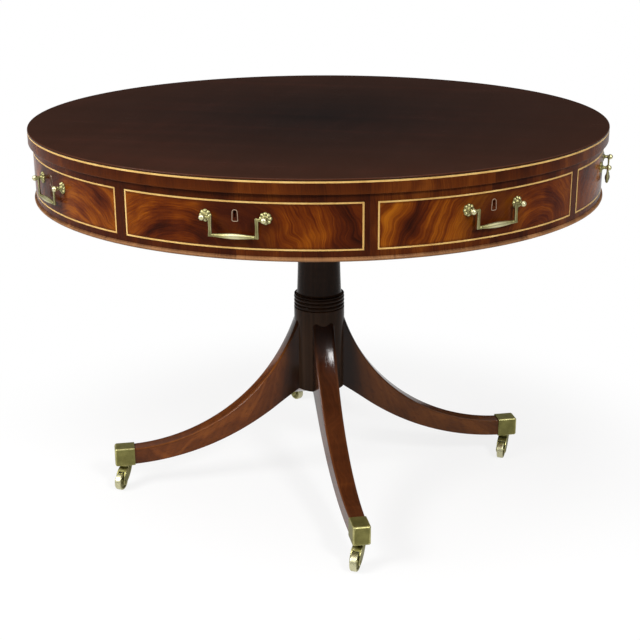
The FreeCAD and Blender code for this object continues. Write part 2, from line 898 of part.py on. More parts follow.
def caster_horn():
    """A caster's fork: crown under the cap, two cheeks down to the axle, stem and riveted head."""
    half = horn_width / 2
    end = cheek_end_radius
    rise = math.radians(cheek_rise_angle)
    fall = math.radians(cheek_fall_angle)
    crown_low = horn_high - crown_height
    first = (caster_trail + end * math.cos(rise), wheel_radius + end * math.sin(rise))
    low = (caster_trail + end * math.cos(fall), wheel_radius + end * math.sin(fall))
    over = (caster_trail * horn_over_share, (crown_low + first[1]) / 2 + wheel_rim)
    inside = (caster_trail * horn_inside_share, (crown_low + low[1]) / 2 - wheel_rim)
    side = outline_face([
        (-crown_half, horn_high),
        (crown_half, horn_high),
        (crown_half, crown_low),
        over + first,
        (caster_trail + end, wheel_radius) + low,
        inside + (-crown_half, crown_low),
    ], lambda across, height: vector(-half, -across, height)).extrude(vector(horn_width, 0, 0))
    gap_half = wheel_width / 2 + wheel_side_gap
    axle_start = vector(-gap_half, -caster_trail, wheel_radius)
    axle_end = vector(gap_half, -caster_trail, wheel_radius)
    wheel_room = rod(wheel_radius + wheel_top_gap, axle_start, axle_end)
    hole = rod(axle_radius, axle_start - vector(overrun, 0, 0), axle_end + vector(overrun, 0, 0))
    horn = side.cut(wheel_room).cut(hole)
    rivet_low = cap_under_height + cap_wall + swivel_gap
    stem = disc(stem_radius, horn_high - crown_height / 2, rivet_low + rivet_height)
    return horn.fuse(stem).fuse(disc(rivet_radius, rivet_low, rivet_low + rivet_height))


def caster_axle():
    half = horn_width / 2
    centre = vector(0, -caster_trail, wheel_radius)
    side = vector(half, 0, 0)
    head = vector(half + axle_head, 0, 0)
    axle = rod(axle_radius, centre - side, centre + side)
    near_head = rod(axle_head_radius, centre - head, centre - side)
    far_head = rod(axle_head_radius, centre + side, centre + head)
    return axle.fuse(near_head).fuse(far_head)


def caster_wheel():
    """A dished wheel with a rounded rim, turned about its axle."""
    half = wheel_width / 2
    bore = axle_radius + running_gap
    rim_inner = wheel_radius - wheel_rim
    bend = corner_share * wheel_round
    points = [
        (-half, bore),
        (-half, wheel_hub_radius),
        (-half + wheel_dish, wheel_hub_radius),
        (-half + wheel_dish, rim_inner),
        (-half, rim_inner),
        (-half, wheel_radius - wheel_round),
        (-half + bend, wheel_radius - bend, -half + wheel_round, wheel_radius),
        (half - wheel_round, wheel_radius),
        (half - bend, wheel_radius - bend, half, wheel_radius - wheel_round),
        (half, rim_inner),
        (half - wheel_dish, rim_inner),
        (half - wheel_dish, wheel_hub_radius),
        (half, wheel_hub_radius),
        (half, bore),
    ]
    face = outline_face(points, lambda x, radius: vector(x, -caster_trail, wheel_radius + radius))
    return face.revolve(vector(0, -caster_trail, wheel_radius), vector(1, 0, 0), full_angle)


def make_casters():
    for name, turn in leg_angles.items():
        def placed(shape):
            copy = at_turn(shape, caster_angles[name])
            copy.translate(stem_place(turn))
            return copy

        save(name + "_caster_horn", [placed(caster_horn()), placed(caster_axle())])
        save(name + "_caster_wheel", [placed(caster_wheel())])


def main():
    os.makedirs("parts", exist_ok=True)
    edge_string = make_top()
    make_rails()
    make_stiles()
    make_partitions()
    make_bottom_board()
    make_drawers()
    make_false_fronts(edge_string)
    make_pedestal()
    make_casters()


main()
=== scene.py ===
import json
import math

import bpy
import bmesh
import numpy as np
from mathutils import Matrix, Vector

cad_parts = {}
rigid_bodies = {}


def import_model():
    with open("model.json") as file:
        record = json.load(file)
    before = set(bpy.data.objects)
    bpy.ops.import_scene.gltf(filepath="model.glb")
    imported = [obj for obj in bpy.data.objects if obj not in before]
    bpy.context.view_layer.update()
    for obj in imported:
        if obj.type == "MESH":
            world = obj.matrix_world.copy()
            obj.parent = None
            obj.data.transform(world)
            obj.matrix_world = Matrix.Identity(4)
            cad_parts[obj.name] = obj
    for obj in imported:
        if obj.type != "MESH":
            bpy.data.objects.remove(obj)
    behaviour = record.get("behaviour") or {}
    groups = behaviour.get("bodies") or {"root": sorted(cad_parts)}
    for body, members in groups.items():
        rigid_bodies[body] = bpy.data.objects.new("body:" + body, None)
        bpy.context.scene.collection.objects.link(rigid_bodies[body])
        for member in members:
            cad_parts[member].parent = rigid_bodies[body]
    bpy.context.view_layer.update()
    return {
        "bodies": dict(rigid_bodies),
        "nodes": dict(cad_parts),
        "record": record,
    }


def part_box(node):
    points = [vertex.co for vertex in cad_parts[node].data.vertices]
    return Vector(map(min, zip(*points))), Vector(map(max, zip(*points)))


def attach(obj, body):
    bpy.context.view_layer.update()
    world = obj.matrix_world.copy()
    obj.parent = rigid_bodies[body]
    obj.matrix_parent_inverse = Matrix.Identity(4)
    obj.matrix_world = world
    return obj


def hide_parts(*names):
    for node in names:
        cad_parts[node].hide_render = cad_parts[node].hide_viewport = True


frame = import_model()

# A mahogany drum table. Metres, +Z up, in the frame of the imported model. A turn is in degrees about
# +Z, counted from -Y towards +X, and a radial plane's own measures are out, aside and up.

QUARTER = 90.0
BAY = 45.0
# The turns of the drawers' fronts and of the false ones between them
SIDES = {side: QUARTER * place for place, side in enumerate(("front", "right", "back", "left"))}
CORNERS = {corner: QUARTER * place + BAY for place, corner
           in enumerate(("front_right", "back_right", "back_left", "front_left"))}


def read_node(name):
    """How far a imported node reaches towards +X, and its lowest and highest place."""
    low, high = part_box(name)
    return high.x, low.z, high.z


# Sizes read from the frame
TOP_RADIUS, TOP_LOW, EDGE_STRING_LOW = read_node("edge_banding")
TABLE_HEIGHT = read_node("top_board")[2]
EDGE_STRING_HIGH = read_node("drum_stringing")[2]
DRUM_RADIUS, OPENING_HIGH, _ = read_node("top_rail")
_, RAIL_LOW, OPENING_LOW = read_node("bottom_rail")
MOULDING_RADIUS, MOULDING_LOW, _ = read_node("base_moulding")
BEARING_RADIUS, BEARING_LOW, BEARING_HIGH = read_node("bearing_block")
COLUMN_LOW = read_node("column")[1]
_, CAP_LOW, CAP_HIGH = read_node("toe_caps")
WHEEL_RADIUS = read_node("front_caster_wheel")[2] / 2

# Sizes of the pieces made here
TOP_EDGE_ROUND = 0.002
EDGE_VENEER = 0.0025
BLOCK_RADIUS = 0.051
LEG_TURN = 24.0
LEG_TOP = 0.342
LEG_ROOT_WIDTH = 0.044
LEG_CAMBER = 0.0013
# Points on a leg's upper and lower edges, as shares of its reach and of its rise
LEG_TOP_SHARES = ((0.120, 0.659), (0.302, 0.375), (0.628, 0.105))
LEG_UNDER_SHARES = ((0.155, 0.712), (0.558, 0.205))
CAP_END = 0.4277
CAP_LENGTH = 0.0405
CAP_WIDTH = 0.034
CAP_WALL = 0.002
CASTER_RADIUS = 0.406
CASTER_TURNS = {"front": -6.0, "right": -6.0, "back": 55.0, "left": -6.0}
CASTER_TRAIL = 0.024
HANDLE_UP = OPENING_HIGH - 0.0268
POST_SPREAD = 0.098
EYE_OUT = 0.012
KNOB_OUT = 0.0144
KNOB_RADIUS = 0.00489
BAIL_WIDTH = 0.076
BAIL_DROP = 0.0282
KEY_UP = OPENING_HIGH - 0.024
SHELL_INNER = 0.520
SMALL_GAP = 0.00005


def turned_point(points, turn):
    """Points turned about +Z: x' = x cos t - y sin t, y' = x sin t + y cos t."""
    angle = math.radians(turn)
    spin = np.array([[math.cos(angle), math.sin(angle), 0],
                     [-math.sin(angle), math.cos(angle), 0],
                     [0, 0, 1]])
    return np.asarray(points, float) @ spin


def grid(points, round_rows, round_columns, size, rub):
    """A surface as rows and columns of points. Its map runs from 0 to size along rows and columns, and
    its rub says how worn each place is, from 0 to 1."""
    points = np.asarray(points, float)
    rub = np.broadcast_to(rub, points.shape[:2])
    return {"points": points, "round": (round_rows, round_columns), "size": size, "rub": rub}


def moved(surface, turn=0.0, place=(0, 0, 0), axes=None):
    """A copy of a surface: each point becomes x*axes[0] + y*axes[1] + z*axes[2] + place, then turned."""
    points = surface["points"]
    if axes is not None:
        points = points @ np.asarray(axes, float)
    points = turned_point(points + np.asarray(place, float), turn)
    return {**surface, "points": points}


def grid_corners(surface):
    """The four grid places (row, column) of each quad, counted past the end where the grid is round."""
    rows, columns = surface["points"].shape[:2]
    round_rows, round_columns = surface["round"]
    row, column = np.meshgrid(np.arange(rows if round_rows else rows - 1),
                              np.arange(columns if round_columns else columns - 1), indexing="ij")
    row, column = row.ravel(), column.ravel()
    return (np.stack([row, row + 1, row + 1, row], -1),
            np.stack([column, column, column + 1, column + 1], -1))


def make_piece(name, surfaces, body, finish, replaces=(), sharp=32.0):
    """One object from grids: quads between neighbouring places, doubles merged, faces outward. Edges
    that bend by more than sharp, in degrees, stay sharp."""
    vertices, faces, maps, rubs = [], [], [], []
    start = 0
    for surface in surfaces:
        rows, columns = surface["points"].shape[:2]
        row, column = grid_corners(surface)
        faces.append(start + (row % rows) * columns + column % columns)
        whole = (rows - (not surface["round"][0]), columns - (not surface["round"][1]))
        maps.append(np.stack([row / whole[0] * surface["size"][0],
                              column / whole[1] * surface["size"][1]], -1).reshape(-1, 2))
        vertices.append(surface["points"].reshape(-1, 3))
        rubs.append(surface["rub"].ravel())
        start += rows * columns
    mesh = bpy.data.meshes.new(name)
    mesh.from_pydata(np.concatenate(vertices), [], np.concatenate(faces))
    mesh.uv_layers.new(name="grain").data.foreach_set("uv", np.concatenate(maps).ravel())
    rub = mesh.attributes.new("rub", "FLOAT", "POINT")
    rub.data.foreach_set("value", np.concatenate(rubs).astype(np.float32))
    tidy = bmesh.new()
    tidy.from_mesh(mesh)
    bmesh.ops.remove_doubles(tidy, verts=tidy.verts, dist=1e-7)
    bmesh.ops.dissolve_degenerate(tidy, edges=tidy.edges, dist=1e-8)
    bmesh.ops.recalc_face_normals(tidy, faces=tidy.faces)
    tidy.to_mesh(mesh)
    tidy.free()
    mesh.shade_smooth()
    mesh.set_sharp_from_angle(angle=math.radians(sharp))
    piece = bpy.data.objects.new(name, mesh)
    bpy.context.scene.collection.objects.link(piece)
    mesh.materials.append(finish)
    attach(piece, body)
    if replaces:
        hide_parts(*replaces)
    return piece


def eased(corners, rounds, steps=5):
    """An outline with rounded corners: near corner c it follows (1-t)^2 a + 2t(1-t) c + t^2 b, where a
    and b lie the corner's round before and after it."""
    corners = np.asarray(corners, float)
    rounds = np.broadcast_to(np.asarray(rounds, float), len(corners))[:, None]
    before = np.roll(corners, 1, 0) - corners
    after = np.roll(corners, -1, 0) - corners
    a = corners + before / np.linalg.norm(before, axis=1)[:, None] * rounds
    b = corners + after / np.linalg.norm(after, axis=1)[:, None] * rounds
    t = np.linspace(0, 1, steps + 1)[None, :, None]
    curve = (1 - t) ** 2 * a[:, None] + 2 * t * (1 - t) * corners[:, None] + t ** 2 * b[:, None]
    return curve.reshape(-1, corners.shape[1])


def arc(start, middle, end, count):
    """Points on the circle through three points, from start to end past the middle one."""
    (ax, ay), (bx, by), (cx, cy) = start, middle, end
    d = 2 * (ax * (by - cy) + bx * (cy - ay) + cx * (ay - by))
    a2, b2, c2 = ax * ax + ay * ay, bx * bx + by * by, cx * cx + cy * cy
    x = (a2 * (by - cy) + b2 * (cy - ay) + c2 * (ay - by)) / d
    y = (a2 * (cx - bx) + b2 * (ax - cx) + c2 * (bx - ax)) / d
    radius = math.hypot(ax - x, ay - y)
    angles = np.unwrap([math.atan2(q - y, p - x) for p, q in (start, middle, end)])
    angle = np.linspace(angles[0], angles[2], count)
    return np.stack([x + radius * np.cos(angle), y + radius * np.sin(angle)], -1)


def guarded(line, closed=False, near=0.0004, longer=0.002):
    """A line with two more points in each long straight run, close to its ends, so that the shading
    bends only there."""
    ends = np.roll(line, -1, 0)
    length = np.linalg.norm(ends - line, axis=1)
    step = (ends - line) / (length[:, None] + 1e-12) * near
    more = length > longer
    if not closed:
        more[-1] = False
    three = np.stack([line, line + step, ends - step], 1)
    return three[np.stack([np.ones(len(line), bool), more, more], 1)]


def step_lengths(line):
    """The distance from each point of a line to the next."""
    return np.linalg.norm(np.diff(line, axis=0), axis=1)


def evened(line, count):
    """A line of points read again at even steps of its own length."""
    run = np.concatenate([[0], np.cumsum(step_lengths(line))])
    places = np.linspace(0, run[-1], count)
    return np.stack([np.interp(places, run, line[:, k]) for k in range(line.shape[1])], -1)


def turning(profile, segments, closed=False, rub=0.0):
    """A profile of (radius, up) turned about +Z: (r sin t, -r cos t, up)."""
    profile = np.asarray(profile, float)
    turn = np.linspace(0, 2 * math.pi, segments, endpoint=False)[:, None]
    points = np.stack([profile[:, 0] * np.sin(turn), -profile[:, 0] * np.cos(turn),
                       profile[:, 1] + 0 * turn], -1)
    size = (2 * math.pi * profile[:, 0].max(), step_lengths(profile).sum())
    return grid(points, True, closed, size, rub)


def inward(outline):
    """Unit directions at the points of a closed outline, square to it and to the left of its way round."""
    step = np.roll(outline, -1, 0) - np.roll(outline, 1, 0)
    return np.stack([-step[:, 1], step[:, 0]], -1) / np.linalg.norm(step, axis=1)[:, None]


# How far a guarding point stands from a round, so that the flat beside it shades flat
GUARD = 0.0003
# Segments round the turned pieces
DRUM_SEGMENTS = 360
COLUMN_SEGMENTS = 128
WHEEL_SEGMENTS = 96
POST_SEGMENTS = 48
SMALL_SEGMENTS = 32
SHOULDER_SEGMENTS = 28
SCREW_SEGMENTS = 24


def rounded_box(half_width, half_height, corner_rounds, steps=6):
    """Sections with four round corners, one row per station; corners run (+,+), (-,+), (-,-), (+,-).
    A corner of radius r and signs (p, q) follows (p (w - r) + r cos a, q (h - r) + r sin a), with one more
    point on the flat to each side of it."""
    stations = len(half_width)
    signs = np.array([(1, 1), (-1, 1), (-1, -1), (1, -1)])
    angle = np.linspace(0, math.pi / 2, steps)[None, :] + np.arange(4)[:, None] * math.pi / 2
    r = np.broadcast_to(corner_rounds, (stations, 4))[:, :, None]
    w = np.asarray(half_width)[:, None, None]
    h = np.asarray(half_height)[:, None, None]
    across = signs[:, 0][None, :, None] * (w - r) + r * np.cos(angle)[None]
    up = signs[:, 1][None, :, None] * (h - r) + r * np.sin(angle)[None]
    arcs = np.stack([across, up], -1)
    way = GUARD * np.stack([-np.sin(angle), np.cos(angle)], -1)
    arcs = np.concatenate([arcs[:, :, :1] - way[None, :, :1], arcs, arcs[:, :, -1:] + way[None, :, -1:]], 2)
    return arcs.reshape(stations, -1, 2)


def edge_rub(steps=6):
    """1 on the corners of a rounded box's section, 0 at their ends."""
    return np.tile(np.concatenate([[0], np.sin(np.linspace(0, math.pi, steps)), [0]]), 4)


def with_ends(points):
    """Rows of points with a last row at each end drawn together to its middle, so the ends are closed."""
    first = np.broadcast_to(points[0].mean(0), points[0].shape)
    last = np.broadcast_to(points[-1].mean(0), points[-1].shape)
    return np.concatenate([first[None], points, last[None]])


class Reading:
    """A number, colour or direction inside a finish; arithmetic on it adds the nodes it needs."""

    def __init__(self, finish, socket):
        self.finish = finish
        self.socket = socket

    def __add__(self, other):
        return self.finish.math("ADD", self, other)

    __radd__ = __add__

    def __sub__(self, other):
        return self.finish.math("SUBTRACT", self, other)

    def __rsub__(self, other):
        return self.finish.math("SUBTRACT", other, self)

    def __mul__(self, other):
        return self.finish.math("MULTIPLY", self, other)

    __rmul__ = __mul__

    def __truediv__(self, other):
        return self.finish.math("DIVIDE", self, other)

    def __pow__(self, other):
        return self.finish.math("POWER", self, other)

    def __abs__(self):
        return self.finish.math("ABSOLUTE", self)

    def between(self, low, high):
        """0 below low, 1 above high, and a smooth rise between them."""
        return self.finish.node("ShaderNodeMapRange", {"interpolation_type": "SMOOTHSTEP"},
                                {"Value": self, "From Min": low, "From Max": high})


class Finish:
    """A node tree, filled through one method that adds a node and returns one of its outputs."""

    def __init__(self, tree):
        self.tree = tree
        self.tree.nodes.clear()

    def node(self, kind, settings=None, inputs=None, output=0):
        node = self.tree.nodes.new(kind)
        for name, value in (settings or {}).items():
            if name == "stops":
                ramp = node.color_ramp
                while len(ramp.elements) < len(value):
                    ramp.elements.new(1.0)
                for element, (position, colour) in zip(ramp.elements, value):
                    element.position = position
                    element.color = (*colour, 1.0)
            else:
                setattr(node, name, value)
        for key, value in (inputs or {}).items():
            if isinstance(value, Reading):
                self.tree.links.new(value.socket, node.inputs[key])
            else:
                node.inputs[key].default_value = value
        return Reading(self, node.outputs[output]) if len(node.outputs) else None

    def math(self, operation, *values):
        return self.node("ShaderNodeMath", {"operation": operation}, dict(enumerate(values)))

    def ray(self, kind):
        """1 for rays of one kind, as Camera or Glossy, and 0 for the others."""
        return self.node("ShaderNodeLightPath", output=f"Is {kind} Ray")

    def place(self, axis=None):
        """The object's own coordinates, or one of them."""
        place = self.node("ShaderNodeTexCoord", output="Object")
        if axis is None:
            return place
        return self.node("ShaderNodeSeparateXYZ", {}, {0: place}, axis)

    def grain(self, axis):
        """How far a place lies along (X) or round (Y) its piece, from the piece's own map."""
        along = self.node("ShaderNodeUVMap", {"uv_map": "grain"})
        return self.node("ShaderNodeSeparateXYZ", {}, {0: along}, axis)

    def stretched(self, sideways, upward):
        """The object's own coordinates, X and Y times one number and Z times another."""
        return self.node("ShaderNodeVectorMath", {"operation": "MULTIPLY"},
                         {0: self.place(), 1: (sideways, sideways, upward)})

    def rubbed(self):
        """1 where hands and cloths have rubbed a piece most, 0 where they haven't."""
        return self.node("ShaderNodeAttribute", {"attribute_name": "rub"}, output="Fac")

    def point(self, x, y, z=0.0):
        return self.node("ShaderNodeCombineXYZ", {}, {0: x, 1: y, 2: z})

    def noise(self, where, scale, detail=2.0, rough=0.5):
        return self.node("ShaderNodeTexNoise", {}, {"Vector": where, "Scale": scale, "Detail": detail,
                                                    "Roughness": rough})

    def streaks(self, along, scale, detail=2.0, rough=0.5):
        """Noise that changes with one number only."""
        return self.node("ShaderNodeTexNoise", {"noise_dimensions": "1D"},
                         {"W": along, "Scale": scale, "Detail": detail, "Roughness": rough})

    def chance(self, number):
        """A number from 0 to 1, the same for the same whole number."""
        return self.node("ShaderNodeTexWhiteNoise", {"noise_dimensions": "1D"}, {"W": number})

    def tones(self, value, stops):
        return self.node("ShaderNodeValToRGB", {"stops": stops}, {"Fac": value})

    def mixed(self, share, a, b):
        return self.node("ShaderNodeMix", {"data_type": "RGBA"}, {0: share, 6: a, 7: b}, 2)

    def surface(self, colour, roughness, height, depth, shine, metal=0.0):
        """The surface itself: its colour, gloss, a relief of a depth in metres, mirroring and metal."""
        relief = self.node("ShaderNodeBump", {}, {"Strength": 1.0, "Distance": depth, "Height": height})
        body = self.node("ShaderNodeBsdfPrincipled", {},
                         {"Base Color": colour, "Roughness": roughness, "Metallic": metal,
                          "Specular IOR Level": shine, "Normal": relief})
        self.node("ShaderNodeOutputMaterial", {}, {"Surface": body})


def new_finish(name):
    material = bpy.data.materials.new(name)
    material.use_nodes = True
    return material, Finish(material.node_tree)


# How strongly each kind of surface mirrors, as specular levels
TOP_SHINE = 0.05
FRONT_SHINE = 0.035
LEG_SHINE = 0.15
COLUMN_SHINE = 0.05
BARE_WOOD_SHINE = 0.35
METAL_SHINE = 0.5
IRON_SHINE = 0.4
# How rough polished wood is
POLISHED = 0.16
# How deep fibres and pores, scratches, brush marks and the pits of iron lie
FIBRE_DEPTH = 0.00006
SCRATCH_DEPTH = 0.00004
BRUSH_DEPTH = 0.00003
PIT_DEPTH = 0.00012
# Tones: a place on a figure's scale, and the linear colour there
FLAME_TONES = ((0.34, (0.016, 0.0028, 0.0010)), (0.44, (0.050, 0.0080, 0.0014)),
               (0.53, (0.100, 0.0190, 0.0018)), (0.62, (0.185, 0.0460, 0.0028)),
               (0.74, (0.300, 0.0920, 0.0045)))
TOP_TONES = ((0.34, (0.0035, 0.0020, 0.0017)), (0.52, (0.0070, 0.0031, 0.0024)),
             (0.66, (0.0140, 0.0047, 0.0034)), (0.82, (0.0290, 0.0085, 0.0052)))
COLUMN_TONES = ((0.30, (0.010, 0.0052, 0.0028)), (0.55, (0.031, 0.0155, 0.0080)),
                (0.80, (0.065, 0.0320, 0.0150)))
BOXWOOD_TONES = ((0.30, (0.38, 0.210, 0.062)), (0.50, (0.51, 0.32, 0.105)), (0.72, (0.63, 0.43, 0.165)))
OAK_TONES = ((0.30, (0.20, 0.105, 0.042)), (0.52, (0.34, 0.195, 0.085)), (0.75, (0.46, 0.29, 0.14)))
PINE_TONES = ((0.30, (0.17, 0.088, 0.034)), (0.52, (0.30, 0.170, 0.075)), (0.75, (0.40, 0.25, 0.12)))
LOCK_TONES = ((0.30, (0.24, 0.15, 0.05)), (0.70, (0.50, 0.36, 0.14)))
THREAD_TONES = ((0.30, (0.29, 0.20, 0.140)), (0.70, (0.50, 0.37, 0.26)))


def round_the_drum(f):
    """The turn of a place about the table's axis, in radians from -Y towards +X."""
    return f.math("ARCTAN2", f.place("X"), 0.0 - f.place("Y"))


def pores(f, along, across):
    """Short open pores: noise stretched along the grain, 0 where it is low and 1 elsewhere."""
    return f.noise(f.point(along * 60.0, across * 1500.0), 1.0, 2.0, 0.6).between(0.30, 0.46)


def flame_mahogany():
    """The fronts: crotch veneer, whose streaks run round a point off each front's lower edge."""
    material, f = new_finish("flame_mahogany")
    turn = round_the_drum(f)
    bay = f.math("ROUND", turn / math.radians(BAY))
    leaf = f.math("FLOORED_MODULO", bay, 8.0)
    along = (turn - bay * math.radians(BAY)) * DRUM_RADIUS
    up = f.place("Z") - (OPENING_LOW + OPENING_HIGH) / 2
    bend = f.noise(f.point(along, up, leaf * 0.7), 9.0, 2.0) - 0.5
    small_bend = f.noise(f.point(along, up, leaf * 1.3), 38.0, 2.0) - 0.5
    heart = 0.11 * f.math("SINE", leaf * 2.3 - 1.15)
    drop = 0.050 + 0.05 * f.chance(leaf + 3.0)
    aside = along - heart + bend * 0.085 + small_bend * 0.012
    down = (up + drop) * 1.25 + bend * 0.03
    ring = (aside * aside + down * down) ** 0.5
    bands = f.noise(f.point(ring * 24.0, aside * 5.0, leaf * 3.7), 1.0, 5.0, 0.66)
    feather = f.noise(f.point(ring * 330.0, aside * 20.0, leaf), 1.0, 3.0, 0.6)
    cloud = f.noise(f.point(along, up, leaf * 2.1), 12.0, 2.0)
    figure = bands * 0.66 + feather * 0.26 + cloud * 0.42 + leaf.between(0.0, 1.0) * 0.05 - 0.192
    colour = f.tones(figure, FLAME_TONES)
    pore = pores(f, aside, ring)
    colour = f.mixed((1 - pore) * 0.35, colour, (0.014, 0.003, 0.0015, 1))
    middle = abs(along / 0.080).between(0.35, 1.1)
    colour = f.mixed((1 - middle) * 0.66, colour, (0.026, 0.0050, 0.0020, 1))
    edge = (abs(up) / 0.0345).between(0.90, 1.0)
    colour = f.mixed(edge * 0.4, colour, (0.030, 0.007, 0.0025, 1))
    cloudy = f.noise(f.place(), 25.0, 3.0)
    rough = POLISHED - 0.05 + cloudy * 0.12 + (1 - pore) * 0.10
    f.surface(colour, rough, pore, FIBRE_DEPTH, FRONT_SHINE)
    return material


def crossbanding(name, dark, middle, bright, bands_per_metre=9.5):
    """Banding whose grain stands upright, in short lengths of differing tone with fine joints."""
    material, f = new_finish(name)
    along = round_the_drum(f) * DRUM_RADIUS
    up = f.place("Z")
    lean = f.noise(f.point(along, up), 22.0, 2.0) - 0.5
    strip = f.math("FLOOR", along * bands_per_metre)
    tone = f.chance(strip)
    fine = f.streaks(along + lean * 0.010 + up * 0.10, 420.0, 3.0, 0.6)
    broad = f.streaks(along + lean * 0.05, 26.0, 2.0, 0.5)
    colour = f.tones(fine * 0.30 + broad * 0.56 + tone * 0.22 - 0.06,
                     [(0.28, dark), (0.52, middle), (0.78, bright)])
    joint = abs(along * bands_per_metre - strip - 0.5).between(0.490, 0.499)
    pore = pores(f, up, along)
    colour = f.mixed(joint * 0.5 + (1 - pore) * 0.25, colour, (0.022, 0.007, 0.004, 1))
    colour = f.mixed(f.rubbed() * 0.35, colour, (*bright, 1))
    cloudy = f.noise(f.place(), 30.0, 3.0)
    f.surface(colour, POLISHED + cloudy * 0.14, pore - joint * 0.5, FIBRE_DEPTH, FRONT_SHINE)
    return material


def top_mahogany():
    """The top: dark polished leaves side by side, with a faint figure, long pores and fine scratches."""
    material, f = new_finish("top_mahogany")
    x, y = f.place("X"), f.place("Y")
    leaf = f.math("FLOOR", y / 0.275 + 0.5)
    bend = f.noise(f.point(x * 0.6, y, leaf), 5.0, 3.0) - 0.5
    line = y + bend * 0.06
    broad = f.streaks(line + leaf * 0.37, 18.0, 3.0, 0.55)
    fine = f.streaks(line + bend * 0.01, 260.0, 3.0, 0.6)
    ripple = f.noise(f.point(x * 26.0, y * 5.0), 1.0, 2.0)
    cloud = f.noise(f.place(), 2.6, 3.0)
    figure = broad * 0.34 + fine * 0.14 + ripple * 0.20 + cloud * 0.46 - 0.07
    colour = f.tones(figure, TOP_TONES)
    pore = pores(f, x, y)
    colour = f.mixed((1 - pore) * 0.3, colour, (0.006, 0.003, 0.002, 1))
    colour = f.mixed(f.rubbed() * 0.30, colour, (0.16, 0.045, 0.014, 1))
    scuff = f.noise(f.point(x * 7.0 + y * 2.0, y * 60.0 - x * 9.0), 1.0, 3.0, 0.7).between(0.60, 0.74)
    cloudy = f.noise(f.place(), 9.0, 4.0)
    f.surface(colour, 0.17 + cloudy * 0.12 + scuff * 0.05, pore, FIBRE_DEPTH / 3, TOP_SHINE)
    return material


def long_mahogany(name, stops, shine=LEG_SHINE, along_axis="X", across_axis="Y", seed=0.0, shade_reach=0.1,
                  shaded_above=LEG_TOP):
    """Solid wood whose grain follows the piece's own map: streaks across it, slow changes along it,
    and painted shade that darkens it towards its start and above a height, for the shade under the drum."""
    material, f = new_finish(name)
    along, across = f.grain(along_axis), f.grain(across_axis)
    bend = f.noise(f.point(along * 7.0, across * 14.0, seed), 1.0, 2.0) - 0.5
    line = across + bend * 0.030 + seed
    broad = f.streaks(line, 60.0, 2.0, 0.5)
    fine = f.streaks(line + bend * 0.004, 520.0, 3.0, 0.6)
    cloud = f.noise(f.place(), 7.5, 3.0)
    ripple = f.noise(f.point(along * 85.0, across * 12.0), 1.0, 1.0)
    colour = f.tones(broad * 0.40 + fine * 0.17 + cloud * 0.36 + ripple * 0.14 - 0.06, stops)
    pore = pores(f, along, across)
    colour = f.mixed((1 - pore) * 0.3, colour, (0.012, 0.004, 0.003, 1))
    colour = f.mixed(f.rubbed() * cloud * 0.35, colour, (*stops[-1][1], 1))
    # Painted shade: a near-black mixed in towards the piece's start and above a height, for the shade under
    # the drum
    painted_shade = (1 - along.between(shade_reach * 0.25, shade_reach)) * 0.9
    painted_shade = painted_shade + f.place("Z").between(shaded_above, shaded_above + 0.004) * 0.6
    colour = f.mixed(painted_shade, colour, (0.0070, 0.0034, 0.0022, 1))
    cloudy = f.noise(f.place(), 28.0, 3.0)
    f.surface(colour, POLISHED - 0.10 + cloudy * 0.08, pore, FIBRE_DEPTH / 2, shine)
    return material


def boxwood():
    """Pale strings: close fine grain and slow changes of tone along them."""
    material, f = new_finish("boxwood_string")
    along = round_the_drum(f) * DRUM_RADIUS
    fine = f.noise(f.place(), 420.0, 2.0)
    broad = f.streaks(along, 18.0, 3.0, 0.6)
    colour = f.tones(broad * 0.7 + fine * 0.3, BOXWOOD_TONES)
    f.surface(colour, 0.24 + fine * 0.14, fine, FIBRE_DEPTH / 3, FRONT_SHINE)
    return material


def plain_wood(name, stops, ring_scale, roughness):
    """Drawer and carcase wood: growth lines bent by noise, seen along each board, with open pores."""
    material, f = new_finish(name)
    x, y, z = f.place("X"), f.place("Y"), f.place("Z")
    bend = f.noise(f.stretched(3.0, 8.0), 1.0, 3.0) - 0.5
    line = (x + y) * 0.25 + z * 1.1 + bend * 0.055
    rings = f.streaks(line, ring_scale, 2.0, 0.5)
    fine = f.noise(f.stretched(60.0, 900.0), 1.0, 3.0, 0.6)
    colour = f.tones(rings * 0.6 + fine * 0.4, stops)
    f.surface(colour, roughness + fine * 0.15, fine, FIBRE_DEPTH * 2, BARE_WOOD_SHINE)
    return material


def brass(name, dark, middle, bright, roughness, metal):
    """Old brass: clouds of tarnish, brighter where hands or polish rub it, fine scratches."""
    material, f = new_finish(name)
    cloud = f.noise(f.place(), 55.0, 3.0, 0.6)
    speck = f.noise(f.place(), 420.0, 2.0, 0.6)
    tone = cloud * 0.6 + speck * 0.25 + f.rubbed() * 0.55 - 0.12
    colour = f.tones(tone, [(0.20, dark), (0.46, middle), (0.80, bright)])
    scratch = f.noise(f.stretched(900.0, 120.0), 1.0, 2.0)
    rough = roughness + (0.5 - tone) * 0.15 + speck * 0.06
    f.surface(colour, rough, scratch * 0.4 + speck * 0.6, SCRATCH_DEPTH, METAL_SHINE, metal)
    return material


def lock_brass():
    """The lock's brushed brass, and the greyer thread let into the front round the keyhole."""
    material, f = new_finish("lock_brass")
    radius = (f.place("X") ** 2.0 + f.place("Y") ** 2.0) ** 0.5
    thread = radius.between(DRUM_RADIUS - 0.003, DRUM_RADIUS - 0.002)
    cloud = f.noise(f.place(), 90.0, 3.0)
    plate, worn = f.tones(cloud, LOCK_TONES), f.tones(cloud, THREAD_TONES)
    brushed = f.noise(f.stretched(40.0, 2500.0), 1.0, 2.0)
    colour = f.mixed(thread, plate, worn)
    f.surface(colour, 0.30 + brushed * 0.18, brushed, BRUSH_DEPTH, METAL_SHINE, 0.85)
    return material


